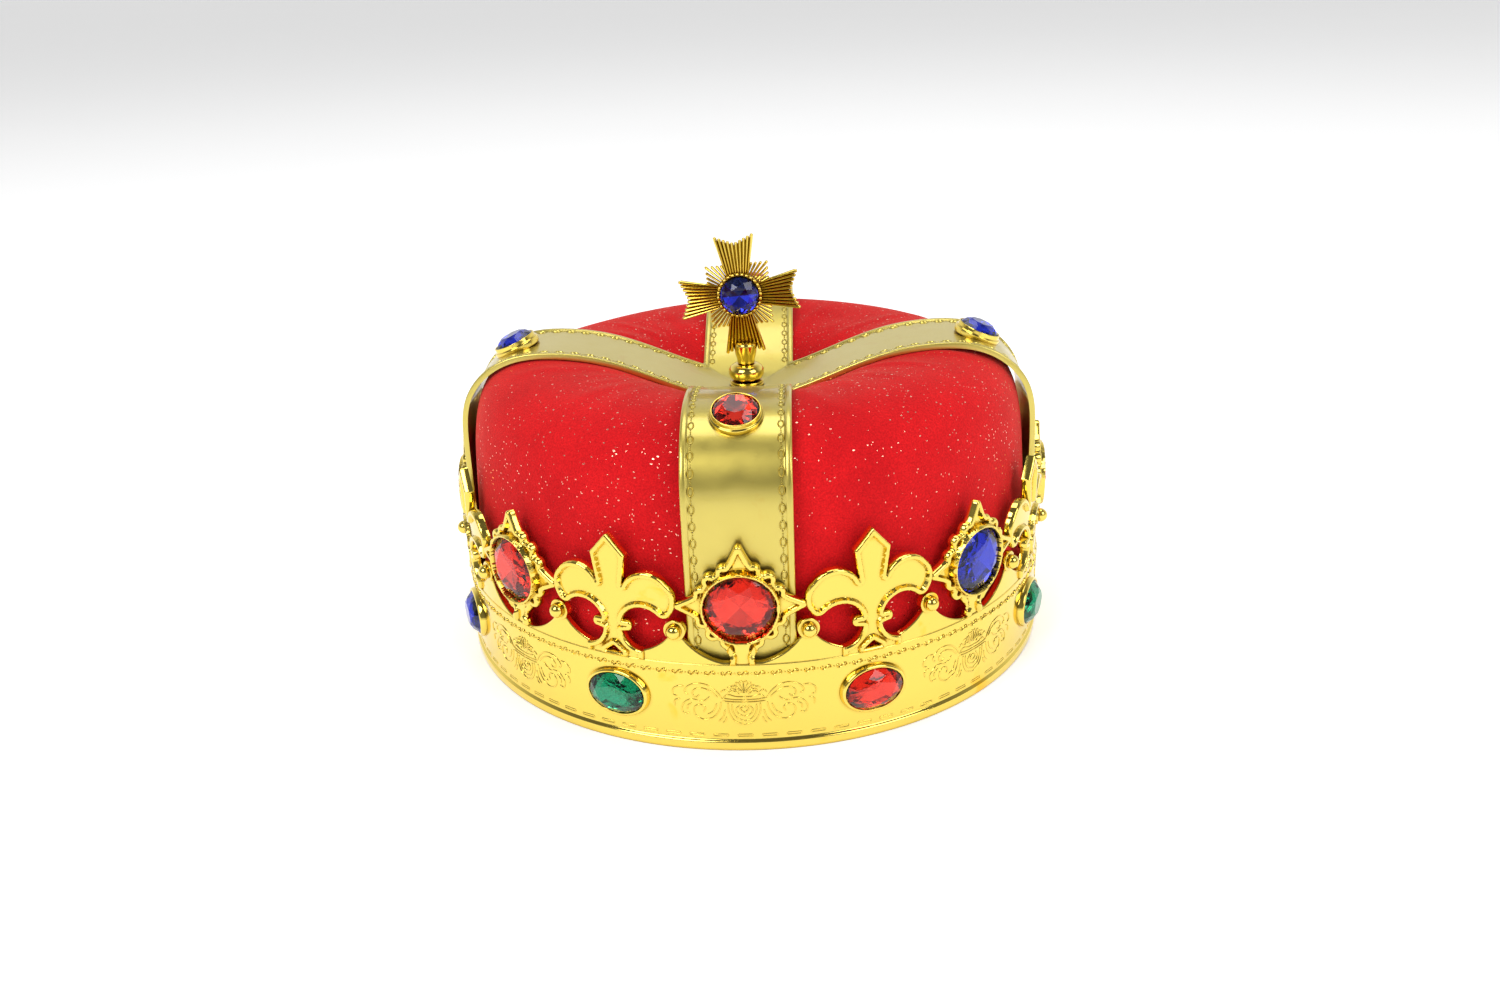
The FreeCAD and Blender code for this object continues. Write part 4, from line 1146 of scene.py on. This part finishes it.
def cloth_shell(name, points, thickness, material, node):
    """Skin of this thickness inside a grid of points that closes on itself sideways."""
    rows, columns = points.shape[:2]
    along = np.gradient(points, axis=0)
    around = np.roll(points, -1, 1) - np.roll(points, 1, 1)
    normal = np.cross(around, along)
    normal /= np.linalg.norm(normal, axis=-1)[..., None] + 1e-9
    if normal[rows // 4, 0] @ np.array([points[rows // 4, 0, 0], points[rows // 4, 0, 1], 0]) < 0:
        normal = -normal
    inner = points - normal * thickness
    count = rows * columns
    faces = both_sides(grid_faces(rows, columns, False, True), count)
    for row in (0, rows - 1):
        for j in range(columns):
            a, b = row * columns + j, row * columns + (j + 1) % columns
            faces.append((a, b, b + count, a + count))
    shape = Shape()
    shape.add(np.concatenate([points.reshape(-1, 3), inner.reshape(-1, 3)]), faces)
    return shape.piece(name, [material], [node], sharp=80)


def turned_grid(meridian, columns):
    """Grid of points from a (radius, height) line turned about Z."""
    turn = np.linspace(0, 2 * math.pi, columns, endpoint=False)
    r, z = meridian[:, 0][:, None], meridian[:, 1][:, None]
    return np.stack([r * np.cos(turn), r * np.sin(turn), z + 0 * turn], axis=-1)


def make_cap(arch):
    side, middle = (CAP_HEM_RADIUS, CAP_SIDE_TOP), (STRAP_PAD, CAP_CENTRE_HEIGHT - 0.15)
    grid = turned_grid(cap_meridian(CAP_CURVE, side, middle, 26, 110, CAP_HEM_FLARE), 288)
    folded = grid.copy()
    lift = cap_folds(grid)
    outwards = grid * (1, 1, 0) / np.maximum(np.hypot(grid[..., 0], grid[..., 1]), 1)[..., None]
    steep = ease(grid[..., 2], 95, 60)[..., None]
    folded += lift[..., None] * (outwards * steep * 0.6 + np.array([0, 0, 1.0]) * (1 - steep))
    folded[..., 2] -= slump(grid)
    cap = cloth_shell("cap_velvet", relaxed_over(arch, folded), CAP_THICKNESS, red_velvet,
                      "velvet_cap")


def make_lining():
    side, middle = (LINING_SIDE, CAP_SIDE_TOP), (STRAP_PAD, LINING_CENTRE_HEIGHT)
    grid = turned_grid(cap_meridian(LINING_CURVE, side, middle, 12, 60), 180)
    turn = np.arctan2(grid[..., 1], grid[..., 0])
    reach = np.hypot(grid[..., 0], grid[..., 1])
    pucker = 0.35 * np.sin(37 * turn) * ease(reach, 60, 20) * ease(reach, 6, 14)
    grid[..., 2] -= 0.4 * ease(grid[..., 2], 70, 90) + np.abs(pucker) + slump(grid)
    lining = cloth_shell("lining_skin", grid, LINING_THICKNESS, lining_cloth, "cap_lining")


def make_sweatband():
    low, high = SWEATBAND_SPAN
    outer = SWEATBAND_RADIUS + SWEATBAND_THICKNESS
    section = rounded([(SWEATBAND_RADIUS, low), (outer, low), (outer, high), (SWEATBAND_RADIUS, high)], 0.35)
    shape = Shape()
    shape.add(*lathe(section, 180, True))
    band = shape.piece("sweatband_ribbon", [ribbon], ["sweatband"], sharp=60)


# ---------------------------------------------------------------- finial

def make_finial_turnings():
    collar = rounded([(0, COLLAR_BOTTOM), (COLLAR_RADIUS, COLLAR_BOTTOM), (COLLAR_RADIUS, 80.85),
                      (5.2, 80.97), (5.45, 81.1), (5.45, COLLAR_TOP), (0, COLLAR_TOP)], 0.14, closed=False)
    belly = np.linspace(-math.pi / 2 * 0.98, math.pi / 2 * 0.98, 15)
    middle = (COLLAR_TOP + KNOB_TOP) / 2
    knob = [(0, COLLAR_TOP)] + [(3.09 + 2.86 * math.cos(t), middle + 2.84 * math.sin(t)) for t in belly]
    knob += [(0, KNOB_TOP)]
    stem = rounded([(0, KNOB_TOP), (2.85, KNOB_TOP), (2.9, 88.6), (3.6, 91.2), (3.65, 94.0),
                    (2.8, STEM_TOP), (0, STEM_TOP)], 0.8, 5, closed=False)
    for name, profile in (("collar", collar), ("knob", knob), ("stem", stem)):
        shape = Shape()
        shape.add(*lathe(profile, 64))
        shape.piece(name + "_turned", [bright_gold], ["finial_" + name], body="finial",
                    weld=0.001)


def on_stem(points):
    """Stand points drawn flat about the cross's centre on the stem, leaning."""
    x, y, z = np.asarray(points, float).T
    y = y + CROSS_CENTRE - CROSS_PIVOT
    lean = math.radians(CROSS_LEAN)
    return np.stack([x * math.cos(lean) - y * math.sin(lean), -z,
                     x * math.sin(lean) + y * math.cos(lean) + CROSS_PIVOT], axis=1)


def ray(start, end, start_half, end_half, depth):
    """Tapered round-ended rod between two points of the cross's plane."""
    start, end = np.array(start, float), np.array(end, float)
    way = (end - start) / np.linalg.norm(end - start)
    side = np.array([-way[1], way[0]])
    length = np.linalg.norm(end - start)
    stops = [(0.0, 1.0), (0.5, 1.0), (length - end_half, 1.0)]
    stops += [(length - end_half + end_half * math.sin(t), math.cos(t)) for t in np.linspace(0.35, 1.45, 5)]
    turn = np.linspace(0, 2 * math.pi, RAY_SIDES, endpoint=False)
    rings = []
    for at, swell in stops:
        half = (start_half + (end_half - start_half) * at / length) * swell
        centre = start + way * at
        rings.append(np.stack([centre[0] + side[0] * half * np.cos(turn),
                               centre[1] + side[1] * half * np.cos(turn),
                               depth * max(swell, 0.15) * np.sin(turn)], axis=1))
    return np.concatenate(rings), tube_faces(len(stops), RAY_SIDES)


def make_cross():
    shape = Shape()
    for quarter in range(4):
        spin = math.pi / 2 * quarter
        turn = np.array([[math.cos(spin), -math.sin(spin)], [math.sin(spin), math.cos(spin)]])
        for i in range(CROSS_ARM_RIBS):
            t = (i + 0.5) / CROSS_ARM_RIBS * 2 - 1
            root = turn @ np.array((3.4 * t, 4.6))
            tip = turn @ np.array((6.75 * t, 17.0 + 2.75 * abs(t)))
            points, faces = ray(root, tip, 0.30, 0.60, 0.8)
            shape.add(on_stem(points), faces)
        for i in range(CROSS_CORNER_RAYS):
            bearing = math.radians(45 + (i - CROSS_CORNER_RAYS // 2) * 6.2)
            reach = 10.2 / max(abs(math.cos(bearing)), abs(math.sin(bearing)))
            towards = np.array((math.cos(bearing), math.sin(bearing)))
            points, faces = ray(turn @ (towards * 5.4), turn @ (towards * reach), 0.28, 0.50, 0.7)
            shape.add(on_stem(points), faces)
        web = [turn @ np.array(p) for p in ((-3.0, 4.4), (3.0, 4.4), (6.5, 18.6), (0, 16.2), (-6.5, 18.6))]
        ring = np.array([(*p, h) for h in (-0.7, -0.3) for p in web])
        sides = [(k, (k + 1) % 5, (k + 1) % 5 + 5, k + 5) for k in range(5)]
        halves = [(0, 1, 2, 3), (0, 3, 4), (8, 7, 6, 5), (9, 8, 5)]
        shape.add(on_stem(ring), sides + halves)
    hub = rounded([(0, -0.75), (6.9, -0.75), (7.3, -0.3), (7.3, 0.55), (6.25, 0.9), (6.25, 0.4), (0, 0.4)],
                  0.2, closed=False)
    points, faces = lathe(hub, 64)
    shape.add(on_stem(points), faces)
    for i in range(CROSS_BEADS):
        turn = 2 * math.pi * i / CROSS_BEADS
        centre = (CROSS_BEAD_RING * math.cos(turn), CROSS_BEAD_RING * math.sin(turn), 1.2)
        points, faces = ball(centre, 0.62, 10)
        shape.add(on_stem(points), faces)
    shape.piece("cross_rays", [bright_gold], ["finial_cross"], body="finial", sharp=50)
    stone = cut_stone((CROSS_GEM_RADIUS, CROSS_GEM_RADIUS), (1.5, 1.8), 4.2, 0.5)
    make_stone("finial_gem", stone, on_stem, body="finial")


# ---------------------------------------------------------------- the studio

def make_camera():
    camera = bpy.data.objects.new("camera", bpy.data.cameras.new("camera"))
    scene.collection.objects.link(camera)
    eye, target = Vector(CAMERA_EYE) * MM, Vector(CAMERA_TARGET) * MM
    roll = math.radians(CAMERA_ROLL)
    camera.location = eye
    aim = (target - eye).to_track_quat("-Z", "Y")
    camera.rotation_mode = "QUATERNION"
    camera.rotation_quaternion = aim @ Matrix.Rotation(roll, 4, "Z").to_quaternion()
    camera.data.lens = CAMERA_LENS
    camera.data.sensor_width = 36.0
    camera.data.clip_start = 0.01
    scene.camera = camera


def make_studio():
    floor_material, tree, shader, place = new_material(
        "studio_floor", Roughness=0.75, Emission_Strength=0.40, Emission_Color=(1.0, 1.0, 1.0, 1.0))
    tone = mix_colour(tree, noise(tree, place, 3.0), (0.90, 0.90, 0.90), (0.86, 0.86, 0.865))
    drive(tree, shader, "Base Color", tone)
    mesh = bpy.data.meshes.new("floor")
    corners = [(x * FLOOR_HALF, y * FLOOR_HALF, 0) for x, y in ((-1, -1), (1, -1), (1, 1), (-1, 1))]
    mesh.from_pydata(corners, [], [(0, 1, 2, 3)])
    mesh.materials.append(floor_material)
    floor = bpy.data.objects.new("floor", mesh)
    scene.collection.objects.link(floor)
    for name, at, width, power in LAMPS:
        lamp = bpy.data.objects.new(name, bpy.data.lights.new(name, "AREA"))
        lamp.data.size = width
        lamp.data.energy = power
        lamp.location = at
        aim = Vector((0, 0, 0.05)) - Vector(at)
        lamp.rotation_mode = "QUATERNION"
        lamp.rotation_quaternion = aim.to_track_quat("-Z", "Y")
        scene.collection.objects.link(lamp)
    world = bpy.data.worlds.new("studio")
    world.use_nodes = True
    tree = world.node_tree
    place = tree.nodes.new("ShaderNodeTexCoord").outputs["Generated"]
    level = add_node(tree, "ShaderNodeSeparateXYZ", {"Vector": place}).outputs["Z"]
    room = ramp(tree, level, [(0.0, (1.0, 1.0, 1.0)), (0.13, (1.0, 1.0, 1.0)), (0.22, (0.2, 0.2, 0.2)),
                              (1.0, (0.12, 0.12, 0.12))])
    backdrop = ramp(tree, level, [(0.0, (1.0, 1.0, 1.0)), (0.45, (0.9, 0.9, 0.9)), (0.8, (0.3, 0.3, 0.3))])
    behind = add_node(tree, "ShaderNodeSeparateXYZ", {"Vector": place}).outputs["Y"]
    sky = mix_colour(tree, spread(tree, behind, 0.0, 1.0, -0.1, 0.45), room, backdrop)
    tree.links.new(sky, tree.nodes["Background"].inputs["Color"])
    tree.nodes["Background"].inputs["Strength"].default_value = 0.95
    scene.world = world
    scene.view_settings.view_transform = "Standard"


def dress_fasteners():
    """Better finishes for the CAD pieces whose shape is right."""
    for node, material in (("band_rivets", brass), ("strap_pins", white_plastic),
                           ("finial_washer", steel), ("finial_screw", steel)):
        mesh = frame["nodes"][node].data
        mesh.materials.clear()
        mesh.materials.append(material)


make_camera()
make_studio()
dress_fasteners()
make_band()
make_band_relief()
make_oval_bezels()
make_fringe()
make_rim_gems()
arm = Arch()
make_strap(arm)
make_strap_chain(arm)
make_arch_gems()
make_cap(arm)
make_lining()
make_sweatband()
make_finial_turnings()
make_cross()
